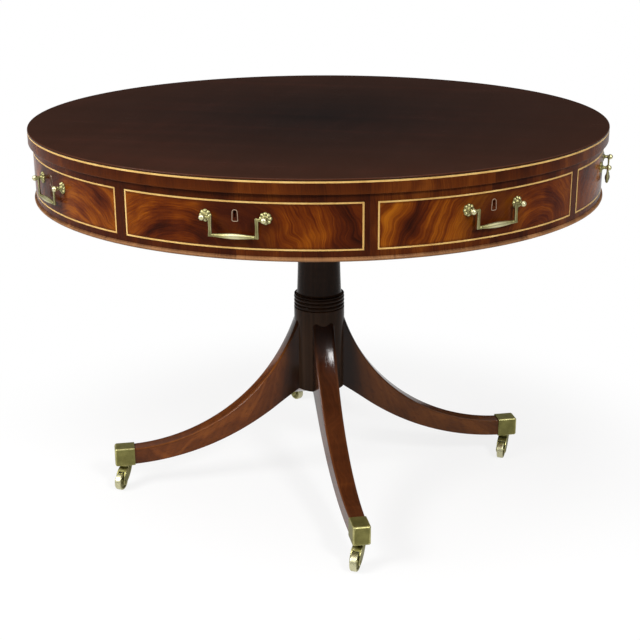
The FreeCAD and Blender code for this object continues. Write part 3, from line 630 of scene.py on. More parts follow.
def dark_metal(name, dark, bright, roughness, metal):
    """Blackened iron or plain steel: mottled, with a rough or brushed skin."""
    material, f = new_finish(name)
    cloud = f.noise(f.place(), 60.0, 4.0, 0.6)
    fine = f.noise(f.place(), 800.0, 2.0)
    colour = f.tones(cloud, [(0.35, dark), (0.65, bright)])
    f.surface(colour, roughness + fine * 0.2, cloud * 0.5 + fine * 0.5, PIT_DEPTH, IRON_SHINE, metal)
    return material


def clear_startup():
    """Remove the objects that stand in an empty file, and keep the frame's."""
    kept = set(frame["nodes"].values()) | set(frame["bodies"].values())
    for thing in [o for o in bpy.data.objects if o not in kept]:
        bpy.data.objects.remove(thing)


CAMERA_TURN = 13.9
CAMERA_DISTANCE = 2.4066
CAMERA_HEIGHT = 1.1695
CAMERA_PITCH = 19.164
CAMERA_ROLL = -0.279
FOCAL_PIXELS = 1248.3
FRAME_PIXELS = 640.0
CENTRE_PIXEL = (319.26, 319.80)


def stand(thing, axes, place):
    """Link a camera or lamp with its own X, Y and Z along the given axes, at a place."""
    matrix = Matrix.Identity(4)
    for column in range(3):
        matrix.col[column][:3] = axes[column]
    matrix.translation = place
    thing.matrix_world = matrix
    bpy.context.scene.collection.objects.link(thing)


def make_camera():
    """The photograph's view: from a turn, distance and height, pitched down and a little rolled."""
    camera = bpy.data.cameras.new("view")
    camera.sensor_width = 36.0
    camera.lens = FOCAL_PIXELS / FRAME_PIXELS * camera.sensor_width
    camera.shift_x = (FRAME_PIXELS / 2 - CENTRE_PIXEL[0]) / FRAME_PIXELS
    camera.shift_y = (CENTRE_PIXEL[1] - FRAME_PIXELS / 2) / FRAME_PIXELS
    camera.clip_end = 400.0
    pitch, roll = math.radians(CAMERA_PITCH), math.radians(CAMERA_ROLL)
    forward = np.array([0, math.cos(pitch), -math.sin(pitch)])
    right = np.array([1.0, 0, 0])
    above = np.cross(right, forward)
    level = math.cos(roll) * right + math.sin(roll) * above
    above = -math.sin(roll) * right + math.cos(roll) * above
    axes = turned_point([level, above, -forward], CAMERA_TURN)
    eye = bpy.data.objects.new("view", camera)
    stand(eye, axes, turned_point([0, -CAMERA_DISTANCE, CAMERA_HEIGHT], CAMERA_TURN))
    bpy.context.scene.camera = eye


FLOOR_RINGS = (0.0, 2.0, 6.0, 20.0, 60.0, 150.0)
FLOOR_SEGMENTS = 64
FLOOR_COLOUR = 0.74
FLOOR_WHITE_SHARE = 0.82
FLOOR_SHADOW_REACH = 0.50
FLOOR_WHITE_FROM = 0.95
FLOOR_MIRRORED_SHARE = 0.42


def make_floor():
    """A wide pale floor with the table's soft shadow on it. To the camera it is nearly white near the
    table and plain white away from it, in reflections it is partly so, and from underneath it is clear."""
    ring = np.stack([FLOOR_RINGS, np.zeros(len(FLOOR_RINGS))], -1)
    surface = turning(ring, FLOOR_SEGMENTS)
    mesh = bpy.data.meshes.new("floor")
    row, column = grid_corners(surface)
    faces = (row % FLOOR_SEGMENTS * len(ring) + column)[:, ::-1]
    mesh.from_pydata(surface["points"].reshape(-1, 3), [], faces)
    floor = bpy.data.objects.new("floor", mesh)
    bpy.context.scene.collection.objects.link(floor)
    material, f = new_finish("pale_floor")
    away = f.node("ShaderNodeVectorMath", {"operation": "LENGTH"}, {0: f.place()}, "Value")
    plain = away.between(FLOOR_SHADOW_REACH, FLOOR_WHITE_FROM)
    to_eye = FLOOR_WHITE_SHARE + plain * (1 - FLOOR_WHITE_SHARE)
    share = f.ray("Camera") * to_eye + (f.ray("Glossy") + f.ray("Transmission")) * FLOOR_MIRRORED_SHARE
    matt = f.node("ShaderNodeBsdfDiffuse", {}, {"Color": (FLOOR_COLOUR, FLOOR_COLOUR, FLOOR_COLOUR, 1)})
    white = f.node("ShaderNodeEmission", {}, {"Color": (1, 1, 1, 1), "Strength": 1.0})
    both = f.node("ShaderNodeMixShader", {}, {0: share, 1: matt, 2: white})
    clear = f.node("ShaderNodeBsdfTransparent")
    under = f.node("ShaderNodeNewGeometry", output="Backfacing")
    shown = f.node("ShaderNodeMixShader", {}, {0: under, 1: both, 2: clear})
    f.node("ShaderNodeOutputMaterial", {}, {"Surface": shown})
    mesh.materials.append(material)


LAMPS = (
    # name, turn, distance, height, aim height, width, length, watts
    ("key", -49.0, 3.1, 2.3, 0.55, 1.5, 1.1, 126.0),
    ("fill", 44.0, 3.0, 2.42, 0.35, 0.60, 0.60, 80.0),
    ("overhead", -10.0, 0.9, 3.3, 0.60, 1.8, 1.8, 48.0),
)
SKY_LOW = 0.03
SKY_HIGH = 0.42
SKY_DARK_BELOW, SKY_BRIGHT_ABOVE = 0.27, 0.75


def make_light():
    """Soft lamps in front and above, and a world that is white to the camera. In reflections it is white
    above and dark near the floor's line, as the dark room is that the polished top mirrors."""
    for name, turn, distance, height, aim, width, length, watts in LAMPS:
        lamp = bpy.data.lights.new(name, "AREA")
        lamp.shape = "RECTANGLE"
        lamp.size, lamp.size_y = width, length
        lamp.energy = watts
        place = turned_point([0, -distance, height], turn)
        back = place - np.array([0, 0, aim])
        back = back / np.linalg.norm(back)
        side = np.cross([0, 0, 1.0], back)
        side = side / np.linalg.norm(side)
        axes = np.stack([side, np.cross(back, side), back])
        stand(bpy.data.objects.new(name, lamp), axes, place)
    bpy.context.scene.view_settings.view_transform = "Standard"
    world = bpy.data.worlds.new("studio")
    bpy.context.scene.world = world
    world.use_nodes = True
    f = Finish(world.node_tree)
    direction = f.node("ShaderNodeTexCoord", output="Generated")
    height = f.node("ShaderNodeSeparateXYZ", {}, {0: direction}, "Z")
    rise = height.between(SKY_DARK_BELOW, SKY_BRIGHT_ABOVE)
    light = SKY_LOW + rise * (SKY_HIGH - SKY_LOW)
    white = f.ray("Camera") + f.ray("Transmission") + f.ray("Glossy") * rise
    strength = light + white * (1 - light)
    sky = f.node("ShaderNodeBackground", {}, {"Color": (1, 1, 1, 1), "Strength": strength})
    f.node("ShaderNodeOutputWorld", {}, {"Surface": sky})


BAND_ROUND = 0.0012
MOULDING_DEPTH = 0.043
MOULDING_PROUD = 0.0005


def worn_near(profile, radius, up, reach):
    """Wear along a profile: 1 at a place on it, falling to 0 at a reach away."""
    return np.clip(1 - np.hypot(profile[:, 0] - radius, profile[:, 1] - up) / reach, 0, 1)


def make_top(finishes):
    """The top board, the banding round its edge and, above that, the string's own place left open."""
    board = TOP_RADIUS - EDGE_VENEER
    profile = eased([(0, TOP_LOW), (board, TOP_LOW), (board, EDGE_STRING_HIGH),
                     (TOP_RADIUS, EDGE_STRING_HIGH), (TOP_RADIUS, TABLE_HEIGHT), (0, TABLE_HEIGHT)],
                    [0, 0, 0, 0.0002, TOP_EDGE_ROUND, 0])
    profile = guarded(profile)
    rub = worn_near(profile, TOP_RADIUS, TABLE_HEIGHT, 0.004)
    make_piece("polished_top", [turning(profile, DRUM_SEGMENTS, rub=rub)], "drum",
               finishes["mahogany_top"], ["top_board"])
    band = eased([(board, TOP_LOW), (TOP_RADIUS, TOP_LOW), (TOP_RADIUS, EDGE_STRING_LOW),
                  (board, EDGE_STRING_LOW)], [0, BAND_ROUND, 0.0001, 0])
    band = guarded(band, True)
    rub = worn_near(band, TOP_RADIUS, TOP_LOW, 0.003)
    make_piece("edge_crossbanding", [turning(band, DRUM_SEGMENTS, True, rub)], "drum",
               finishes["mahogany_band"], ["edge_banding"])


def make_moulding(finishes):
    """The moulding under the drum: a fillet, a round bead and a small step back below it."""
    inner = MOULDING_RADIUS - MOULDING_DEPTH
    face = DRUM_RADIUS + MOULDING_PROUD
    bead = arc((face + 0.0002, MOULDING_LOW + 0.0007),
               (MOULDING_RADIUS, (MOULDING_LOW + RAIL_LOW) / 2), (face + 0.0002, RAIL_LOW - 0.0009), 17)
    profile = np.concatenate([[(inner, MOULDING_LOW), (face - 0.0006, MOULDING_LOW)], bead,
                              [(face - 0.0004, RAIL_LOW - 0.0007), (face - 0.0004, RAIL_LOW),
                               (inner, RAIL_LOW)]])
    profile = guarded(profile, True)
    rub = np.clip(1 - np.abs(profile[:, 0] - MOULDING_RADIUS) / 0.0012, 0, 1)
    make_piece("bead_moulding", [turning(profile, DRUM_SEGMENTS, True, rub)], "drum",
               finishes["moulding"], ["base_moulding"])


REEDS = 3
REED_HEIGHT = 0.008
REED_DEPTH = 0.002
RING_LOW = COLUMN_LOW + 0.172
RING_HIGH = RING_LOW + REEDS * REED_HEIGHT
RING_CAP = 0.0025
RING_CAP_RADIUS = BLOCK_RADIUS - 0.0006
COVE_RADIUS = BLOCK_RADIUS - 0.0022
BLOCK_ARRIS = 0.0015
SHOULDER = 0.0055
SHAFT_FOOT, SHAFT_WAIST, SHAFT_TOP = 0.0446, 0.0424, 0.0415
COLLAR_RADIUS = 0.052
COLLAR_HEIGHT = 0.020
COLLAR_BEAD = 0.006
TENON_RADIUS = 0.024
BEARING_ROUND = 0.008


def column_profile():
    """Radius and height up the column: block, reeds as half waves, cap fillet, cove, shaft and collar.
    The block's two arrises fall back by a t^2."""
    up = np.linspace(0, 1, 9)
    foot = np.stack([BLOCK_RADIUS - BLOCK_ARRIS * (1 - up) ** 2, COLUMN_LOW + BLOCK_ARRIS * up], -1)
    head = np.stack([BLOCK_RADIUS - BLOCK_ARRIS * up ** 2, RING_LOW - BLOCK_ARRIS * (1 - up)], -1)
    reed = np.linspace(0, REEDS, REEDS * 12 + 1)
    reeds = np.stack([BLOCK_RADIUS - REED_DEPTH + REED_DEPTH * np.abs(np.sin(math.pi * reed)) ** 0.7,
                      RING_LOW + reed * REED_HEIGHT], -1)
    cap_high = RING_HIGH + RING_CAP
    cap = eased([(BLOCK_RADIUS - REED_DEPTH, RING_HIGH), (RING_CAP_RADIUS, RING_HIGH + 0.0003),
                 (RING_CAP_RADIUS, cap_high), (COVE_RADIUS, cap_high)], [0, 0.0006, 0.0006, 0], 3)
    shaft_low = cap_high + SHOULDER
    cove = arc((COVE_RADIUS, cap_high), (SHAFT_FOOT + 0.0008, cap_high + 0.0022),
               (SHAFT_FOOT, shaft_low), 9)
    collar_low = BEARING_LOW - COLLAR_HEIGHT
    collar_high = BEARING_LOW - COLLAR_BEAD
    waist = (SHAFT_WAIST, shaft_low + 0.38 * (collar_low - shaft_low))
    shaft = arc((SHAFT_FOOT, shaft_low), waist, (SHAFT_TOP, collar_low), 25)
    flare = arc((SHAFT_TOP, collar_low), (SHAFT_TOP + 0.0032, collar_high - 0.0040),
                (COLLAR_RADIUS - 0.002, collar_high), 9)
    bead = arc((COLLAR_RADIUS - 0.002, collar_high), (COLLAR_RADIUS, (collar_high + BEARING_LOW) / 2),
               (COLLAR_RADIUS - 0.002, BEARING_LOW), 9)
    top = BEARING_HIGH - 0.0006
    return np.concatenate([[(0, COLUMN_LOW)], foot, head, reeds, cap, cove, shaft, flare, bead,
                           [(TENON_RADIUS, BEARING_LOW), (TENON_RADIUS, top), (0, top)]])


def make_column(finishes):
    """The turned column and, round its tenon, the bearing block with a round lower edge."""
    profile = guarded(column_profile())
    wave = np.abs(np.sin(math.pi * (profile[:, 1] - RING_LOW) / REED_HEIGHT))
    in_ring = (profile[:, 1] > RING_LOW) & (profile[:, 1] < RING_HIGH)
    column = turning(profile, COLUMN_SEGMENTS, rub=np.where(in_ring, wave * 0.3, 0))
    make_piece("turned_column", [column], "pedestal", finishes["column"],
               ["column"], sharp=50.0)
    block = eased([(TENON_RADIUS, BEARING_LOW), (BEARING_RADIUS - BEARING_ROUND, BEARING_LOW),
                   (BEARING_RADIUS, BEARING_LOW + BEARING_ROUND), (BEARING_RADIUS, BEARING_HIGH),
                   (TENON_RADIUS, BEARING_HIGH)], [0, 0.002, 0.002, 0.0006, 0])
    make_piece("turned_bearing_block", [turning(guarded(block, True), COLUMN_SEGMENTS, True)], "pedestal",
               finishes["column"], ["bearing_block"])


LEG_STATIONS = 72
LEG_CROWN, LEG_CROWN_LOSS = 0.0080, 0.0050
LEG_ARRIS = 0.0022
LEG_GIRTH = 2 * (LEG_ROOT_WIDTH + 0.06)


def leg_lines():
    """The upper and lower edges of a leg as (out, up), each at even steps of its length: arcs through
    its points, and straight inside the cap."""
    cap_start = CAP_END - CAP_LENGTH
    end = CAP_END - CAP_WALL - SMALL_GAP
    low = CAP_LOW + CAP_WALL + SMALL_GAP
    high = CAP_HIGH - CAP_WALL - SMALL_GAP
    foot = np.array([BLOCK_RADIUS, 0])
    reach = cap_start - BLOCK_RADIUS
    a, b, c = (foot + [out * reach, high + up * (LEG_TOP - high)] for out, up in LEG_TOP_SHARES)
    d, e = (foot + [out * reach, low + up * (COLUMN_LOW - low)] for out, up in LEG_UNDER_SHARES)
    top = np.concatenate([arc((BLOCK_RADIUS, LEG_TOP), a, b, 40), arc(b, c, (cap_start, high), 60)[1:],
                          [(end, high)]])
    under = np.concatenate([[(BLOCK_RADIUS, COLUMN_LOW)], arc(d, e, (cap_start, low), 80), [(end, low)]])
    return evened(top, LEG_STATIONS), evened(under, LEG_STATIONS)


def leg_surface():
    """A sabre leg: at each station a rounded box spans from the lower to the upper edge.
    Its width w tapers with the reach, its upper half is lowered by c (2 x/w)^2 to each side, and near the
    root it is drawn in to lie on the round block, by a share (1 - t)^9 of the block's own fall."""
    top, under = leg_lines()
    middle = (top + under) / 2
    rise = top - under
    height = np.linalg.norm(rise, axis=1)
    direction = rise / height[:, None]
    share = np.clip((middle[:, 0] - BLOCK_RADIUS) / (CAP_END - CAP_LENGTH - BLOCK_RADIUS), 0, 1)
    end_width = CAP_WIDTH - 2 * CAP_WALL - 2 * SMALL_GAP
    width = LEG_ROOT_WIDTH + (end_width - LEG_ROOT_WIDTH) * share
    crown = LEG_CROWN - LEG_CROWN_LOSS * share ** 0.5
    arris = LEG_ARRIS + 0 * share
    section = rounded_box(width / 2, height / 2, np.stack([crown, crown, arris, arris], -1), 8)
    aside, above = section[:, :, 0], section[:, :, 1]
    camber = (LEG_CAMBER * (1 - 0.6 * share))[:, None] * (aside / width[:, None] * 2) ** 2
    above = above - camber * (above > 0)
    out = middle[:, 0][:, None] + above * direction[:, 0][:, None]
    up = middle[:, 1][:, None] + above * direction[:, 1][:, None]
    along = np.linspace(0, 1, LEG_STATIONS)[:, None]
    out = out - (BLOCK_RADIUS - np.sqrt(BLOCK_RADIUS ** 2 - aside ** 2)) * (1 - along) ** 9
    points = with_ends(np.stack([aside, -out, up], -1))
    rub = edge_rub(8) * 0.8
    return grid(points, False, True, (step_lengths(middle).sum(), LEG_GIRTH), rub)


def make_legs(finishes):
    """The four legs, each with a finish of its own."""
    leg = leg_surface()
    for side, turn in SIDES.items():
        make_piece(side + "_sabre_leg", [moved(leg, LEG_TURN + turn)], "pedestal",
                   finishes["leg_" + side], [side + "_leg"], sharp=40.0)


CAP_END_ROUND = 0.0046
CAP_LONG_ROUND = 0.0032
CAP_SCREW_IN = 0.0055
CAP_SCREW_RADIUS = 0.003
CAP_SCREW_PROUD = 0.0004


def cap_surface():
    """A toe cap: outside and inside skins of a rounded box along its length, with a rounded blind end.
    Near the end each section is drawn in by r (1 - cos a) while it goes on by r sin a."""
    start, end = CAP_END - CAP_LENGTH, CAP_END
    half_width, half_height = CAP_WIDTH / 2, (CAP_HIGH - CAP_LOW) / 2
    angle = np.linspace(0, math.pi / 2, 7)
    bend_start = end - CAP_END_ROUND
    out = np.concatenate([[start + 0.0004, start + 0.0010, bend_start - GUARD],
                          bend_start + CAP_END_ROUND * np.sin(angle), [end]])
    inset = np.concatenate([[0, 0, 0], CAP_END_ROUND * (1 - np.cos(angle)), [CAP_END_ROUND + GUARD]])
    inner = np.array([start, start, start + 0.004, end - CAP_WALL])
    inner_inset = np.array([0.0003, CAP_WALL - 0.0003, CAP_WALL, CAP_WALL])
    reach = np.concatenate([inner[::-1], out])
    drawn = np.concatenate([inner_inset[::-1], inset])
    rounds = np.maximum(CAP_LONG_ROUND - drawn * 0.4, 0.0004)[:, None]
    section = rounded_box(half_width - drawn, half_height - drawn, np.repeat(rounds, 4, 1))
    middle = (CAP_LOW + CAP_HIGH) / 2
    points = np.stack([section[:, :, 0], -np.broadcast_to(reach[:, None], section.shape[:2]),
                       middle + section[:, :, 1]], -1)
    bend = np.concatenate([[0.0] * (len(inner) + 4), np.sin(2 * angle), [0, 0]])[:, None]
    side = np.concatenate([[0.0] * (len(inner) + 1), np.ones(len(out) - 1), [0, 0]])[:, None]
    rub = 0.7 * np.maximum(bend, side * edge_rub())
    return grid(with_ends(points), False, True, (CAP_LENGTH, 4 * CAP_WIDTH), rub)


def screw_head(radius, proud):
    """A low domed screw head about +Z: up = proud (1 - s^2), where s runs from the middle to the rim."""
    s = np.linspace(0, 1, 8)
    profile = np.stack([radius * s, proud * (1 - s ** 2)], -1)
    return turning(np.concatenate([profile, [(radius, -proud), (0, -proud)]]), SCREW_SEGMENTS)


def make_caps(finishes):
    """The four toe caps and the screw under each."""
    cap = cap_surface()
    screw = moved(screw_head(CAP_SCREW_RADIUS, CAP_SCREW_PROUD), axes=[(1, 0, 0), (0, -1, 0), (0, 0, -1)],
                  place=(0, -(CAP_END - CAP_LENGTH + CAP_SCREW_IN), CAP_LOW))
    surfaces = [moved(part, LEG_TURN + turn) for turn in SIDES.values() for part in (cap, screw)]
    make_piece("toe_cap_sockets", surfaces, "pedestal", finishes["caster_brass"],
               ["toe_caps"])


CROWN_HALF = 0.0085
CROWN_HEIGHT = 0.0045
CHEEK = 0.003
CHEEK_ROUND = 0.0014
CHEEK_END = 0.0065
NECK_SHARE = 0.66
SHOULDER_LOW = 0.0405
WHEEL_WIDTH = 0.013
WHEEL_GAP = 0.0005
WHEEL_TOP_GAP = 0.0016
WHEEL_RIM = 0.0045
WHEEL_HUB = 0.006
WHEEL_DISH = 0.002
HORN_HIGH = CAP_LOW - 0.0003
AXLE_RADIUS = 0.0025
RIVET_RADIUS, RIVET_PROUD = 0.004, 0.001
STEM_RADIUS = 0.004
# A stem's riveted head: its radius and how far it lies above the cap's underside, from foot to top
STEM_HEAD = ((0.0061, 0.0026), (0.0065, 0.0030), (0.0060, 0.0049), (0.0045, 0.0056), (0, 0.0056))
# Rows that lay a piece's own +Z along +X
ALONG_X = [(0, 1, 0), (0, 0, 1), (1, 0, 0)]


def slab(outline, low, high, low_round=0.0, high_round=0.0):
    """A closed outline (a, b) carried along X from low to high, with its two rims rounded: near an end
    it is drawn in by r (1 - cos t) while X goes on by r sin t. Points are (x, -a, b)."""
    t = np.linspace(0, math.pi / 2, 5)
    x = np.concatenate([[low], low + low_round * (1 - np.sin(t[::-1])),
                        high - high_round * (1 - np.sin(t)), [high]])
    drawn = np.concatenate([[low_round + GUARD], low_round * (1 - np.cos(t[::-1])),
                            high_round * (1 - np.cos(t)), [high_round + GUARD]])
    flat = outline[None] + inward(outline)[None] * drawn[:, None, None]
    points = np.stack([np.broadcast_to(x[:, None], flat.shape[:2]), -flat[:, :, 0], flat[:, :, 1]], -1)
    bend = np.concatenate([[0, 0], np.sin(2 * t[::-1]), np.sin(2 * t), [0, 0]])
    return grid(with_ends(points), False, True, (0.02, 0.09), bend[:, None] * 0.8)


def ahead(degrees):
    """The direction at an angle up from straight ahead."""
    return np.array([math.cos(math.radians(degrees)), math.sin(math.radians(degrees))])


def fork_surfaces():
    """A caster's fork: two cheeks and the web over the wheel, in the profile of a leaning horn.
    Above the wheel the whole width is drawn in like a shoulder: x' = x (n + (1-n) (1 - s^2)^0.5)."""
    crown_low = HORN_HIGH - CROWN_HEIGHT
    axle = np.array([CASTER_TRAIL, WHEEL_RADIUS])
    first, last = axle + CHEEK_END * ahead(40), axle + CHEEK_END * ahead(-110)
    over = (CASTER_TRAIL * 0.85, (crown_low + first[1]) / 2 + WHEEL_RIM)
    inside = (CASTER_TRAIL * 0.2, (crown_low + last[1]) / 2 - WHEEL_RIM)
    crown = eased([(-CROWN_HALF, crown_low), (-CROWN_HALF, HORN_HIGH), (CROWN_HALF, HORN_HIGH),
                   (CROWN_HALF, crown_low)], [0.0001, 0.0028, 0.0028, 0.0001], 4)[1:-1]
    front = arc((CROWN_HALF, crown_low), over, first, 18)[1:]
    end = arc(first, axle + [CHEEK_END, 0], last, 14)[1:]
    back = arc(last, inside, (-CROWN_HALF, crown_low), 18)[1:-1]
    outline = np.concatenate([crown, front, end, back])[::-1]
    room = WHEEL_RADIUS + WHEEL_TOP_GAP
    bare_front, bare_back = (line[np.linalg.norm(line - axle, axis=1) > room] for line in (front, back))
    high, low = (math.atan2(*(p - axle)[::-1]) for p in (bare_front[-1], bare_back[0]))
    angle = np.linspace(high, low, 18)
    hollow = axle + room * np.stack([np.cos(angle), np.sin(angle)], -1)
    web = np.concatenate([crown, bare_front, hollow, bare_back])[::-1]
    inner = WHEEL_WIDTH / 2 + WHEEL_GAP
    outer = inner + CHEEK
    surfaces = [slab(outline, -outer, -inner, CHEEK_ROUND, 0.0004),
                slab(outline, inner, outer, 0.0004, CHEEK_ROUND),
                slab(web, -inner - 0.0006, inner + 0.0006)]
    for surface in surfaces:
        points = surface["points"]
        rise = np.clip((points[:, :, 2] - SHOULDER_LOW) / (HORN_HIGH - SHOULDER_LOW), 0, 1)
        points[:, :, 0] *= NECK_SHARE + (1 - NECK_SHARE) * np.sqrt(1 - rise ** 2)
    return surfaces


def axle_surface():
    """The axle along +X with a domed, riveted head at each end: a quarter of an ellipse."""
    half = WHEEL_WIDTH / 2 + WHEEL_GAP + CHEEK
    angle = np.linspace(0, 1, 6) * math.pi / 2
    dome = np.stack([RIVET_RADIUS * np.cos(angle), half + RIVET_PROUD * np.sin(angle)], -1)
    profile = np.concatenate([dome[::-1] * [1, -1], [(AXLE_RADIUS, -half), (AXLE_RADIUS, half)], dome])
    return moved(turning(profile, SMALL_SEGMENTS), axes=ALONG_X)


def wheel_surface():
    """A wheel about +X: hub, dished web and a rim with a rounded tread."""
    half = WHEEL_WIDTH / 2
    rim = WHEEL_RADIUS - WHEEL_RIM
    side = [(AXLE_RADIUS + SMALL_GAP, half), (WHEEL_HUB, half), (WHEEL_HUB + 0.0004, half - WHEEL_DISH),
            (rim - 0.0004, half - WHEEL_DISH), (rim, half), (WHEEL_RADIUS - 0.00002, half)]
    rounds = [0.0003, 0.0007, 0.0006, 0.0006, 0.0007, 0.0026]
    outline = side + [(r, -x) for r, x in side[::-1]]
    profile = guarded(eased(outline, rounds + rounds[::-1], 6), True, 0.0002, 0.0012)
    rub = np.clip((profile[:, 0] - rim) / (WHEEL_RADIUS - rim), 0, 1) * 0.9
    return moved(turning(profile, WHEEL_SEGMENTS, True, rub), axes=ALONG_X)


def make_casters(finishes):
    """The four casters, each turned about its own stem: the fork with axle and riveted stem, the wheel."""
    head = [(radius, CAP_LOW + up) for radius, up in STEM_HEAD]
    stem = turning([(0, HORN_HIGH - 0.002), (STEM_RADIUS, HORN_HIGH - 0.002), (STEM_RADIUS, head[0][1]),
                    *head], SMALL_SEGMENTS)
    at_axle = (0, -CASTER_TRAIL, WHEEL_RADIUS)
    fork = [*fork_surfaces(), moved(axle_surface(), place=at_axle), stem]
    wheel = [moved(wheel_surface(), place=at_axle)]
    kinds = (("_fork", fork, "_caster", "horn_brass", "_caster_horn"),
             ("_roller", wheel, "_wheel", "roller_brass", "_caster_wheel"))
    for side, turn in SIDES.items():
        at_stem = turned_point([0, -CASTER_RADIUS, 0], LEG_TURN + turn)
        for name, surfaces, body, finish, node in kinds:
            surfaces = [moved(moved(surface, CASTER_TURNS[side]), place=at_stem) for surface in surfaces]
            make_piece(side + name, surfaces, side + body, finishes[finish], [side + node])


PETALS = 8
PETAL_TIP, PETAL_VALLEY = 0.0106, 0.0092
PETAL_SWELL = 0.0011
ROSETTE_THICK = 0.0018
ROSETTE_MIDDLE = 0.35
BOSS_RADIUS = 0.0064
NECK_RADIUS = 0.0026
COLLAR_PROUD = 0.0008
NUT_RADIUS, NUT_THICK = 0.006, 0.0030
BOLT_RADIUS, BOLT_LENGTH = 0.0025, 0.005


def rosette_surface():
    """A flower plate about +Z: eight petals, each swelling across its width and dipping to the boss.
    With c = |cos 4a| its rim is at v + (p - v) c^0.7, and its height at a share s of the rim is
    t (1 - s^8)^0.5 (0.55 + 0.45 c) + w sin(pi u) c^0.8, where u runs from 0 at the boss to 1."""
    angle = np.linspace(0, 2 * math.pi, PETALS * 16, endpoint=False)[:, None]
    share = np.concatenate([[0], np.linspace(ROSETTE_MIDDLE, 1, 18)])[None, :]
    petal = np.abs(np.cos(PETALS / 2 * angle))
    rim = PETAL_VALLEY + (PETAL_TIP - PETAL_VALLEY) * petal ** 0.7
    across = np.clip((share - ROSETTE_MIDDLE) / (1 - ROSETTE_MIDDLE), 0, 1)
    swell = PETAL_SWELL * np.sin(math.pi * across) * petal ** 0.8
    up = ROSETTE_THICK * np.sqrt(1 - share ** 8) * (0.55 + 0.45 * petal) + swell
    points = np.stack([share * rim * np.sin(angle), share * rim * np.cos(angle), up], -1)
    back = np.zeros((len(angle), 1, 3))
    rub = np.concatenate([np.clip(petal * 1.1, 0, 1) * np.sin(math.pi * share) * 0.9, 0 * angle], 1)
    return grid(np.concatenate([points, back], 1), True, False, (0.06, 0.02), rub)


def post_surface():
    """The turned post about +Z: a stepped boss, a bell drawn in to the neck, a collar and a ball knob."""
    boss = [(0, 0.0008), (BOSS_RADIUS, 0.0008), (BOSS_RADIUS, 0.0022), (BOSS_RADIUS - 0.0004, 0.0027),
            (BOSS_RADIUS - 0.0010, 0.0028)]
    bell = arc((BOSS_RADIUS - 0.0010, 0.0030), (NECK_RADIUS + 0.0010, 0.0046), (NECK_RADIUS, 0.0074), 9)
    collar = eased([(NECK_RADIUS, 0.0080), (NECK_RADIUS + COLLAR_PROUD, 0.0084),
                    (NECK_RADIUS + COLLAR_PROUD, 0.0094), (NECK_RADIUS, 0.0098)], [0, 0.0003, 0.0003, 0], 3)
    angle = np.linspace(-1.02, math.pi / 2, 19)
    knob = np.stack([KNOB_RADIUS * np.cos(angle), KNOB_OUT + KNOB_RADIUS * np.sin(angle)], -1)
    profile = np.concatenate([boss, bell, collar[:-1], knob])
    rub = np.clip(profile[:, 1] / 0.016, 0, 1) ** 2
    return turning(profile, POST_SEGMENTS, rub=rub)


def nut_surfaces():
    """The post's bolt and round nut behind the front, about +Z pointing out of the front."""
    inside = SHELL_INNER - DRUM_RADIUS
    nut = eased([(0, inside - NUT_THICK), (NUT_RADIUS, inside - NUT_THICK),
                 (NUT_RADIUS, inside - SMALL_GAP), (0, inside - SMALL_GAP)], [0, 0.0006, 0.0003, 0], 3)
    bolt = [(0, 0.001), (BOLT_RADIUS, 0.001), (BOLT_RADIUS, inside - BOLT_LENGTH + 0.0004),
            (BOLT_RADIUS - 0.0004, inside - BOLT_LENGTH), (0, inside - BOLT_LENGTH)]
    return [turning(nut, SMALL_SEGMENTS), turning(bolt, SCREW_SEGMENTS)]


def outward_axes(turn_aside):
    """Axes of a fitting that points out of the drum: x along the face, y up, z outward, at the front."""
    angle = math.radians(turn_aside)
    return [(math.cos(angle), math.sin(angle), 0), (0, 0, 1), (math.sin(angle), -math.cos(angle), 0)]


POST_TURN = math.degrees(POST_SPREAD / 2 / DRUM_RADIUS)


def post_surfaces():
    """Both posts of one handle, on the front at turn 0."""
    surfaces = []
    for side in (-1, 1):
        axes = outward_axes(side * POST_TURN)
        place = np.array(axes[2]) * DRUM_RADIUS + [0, 0, HANDLE_UP]
        surfaces += [moved(part, place=place, axes=axes)
                     for part in (rosette_surface(), post_surface(), *nut_surfaces())]
    return surfaces


THREAD_HEAD = 0.0047
THREAD_FOOT = 0.0052
THREAD_HEIGHT = 0.0196
# The thread's section: how far inward of its outline, and how far out of the front
THREAD_SECTION = np.array([(0, -0.0010), (0, 0.0002), (0.0001, 0.0003), (0.0010, 0.0003),
                           (0.0011, 0.0002), (0.0011, -0.0010)])


def thread_surface():
    """The thin thread round a keyhole on the front at turn 0: a flat band that follows an arched outline.
    A point (x, z) of the outline lies on the drum at y = -(R^2 - x^2)^0.5."""
    head_up = KEY_UP + THREAD_HEIGHT / 2 - THREAD_HEAD
    low = KEY_UP - THREAD_HEIGHT / 2
    head = arc((THREAD_HEAD, head_up), (0, head_up + THREAD_HEAD), (-THREAD_HEAD, head_up), 17)
    left = arc((-THREAD_FOOT, low + 0.0026), (-THREAD_FOOT + 0.0008, low + 0.0008),
               (-THREAD_FOOT + 0.0026, low), 6)
    outline = np.concatenate([head, left, (left * [-1, 1])[::-1]])
    flat = outline[:, None, :] + inward(outline)[:, None, :] * THREAD_SECTION[None, :, 0, None]
    radius = DRUM_RADIUS + THREAD_SECTION[None, :, 1]
    points = np.stack([flat[:, :, 0], -np.sqrt(radius ** 2 - flat[:, :, 0] ** 2), flat[:, :, 1]], -1)
    return grid(points, True, True, (0.05, 0.004), 0.4)


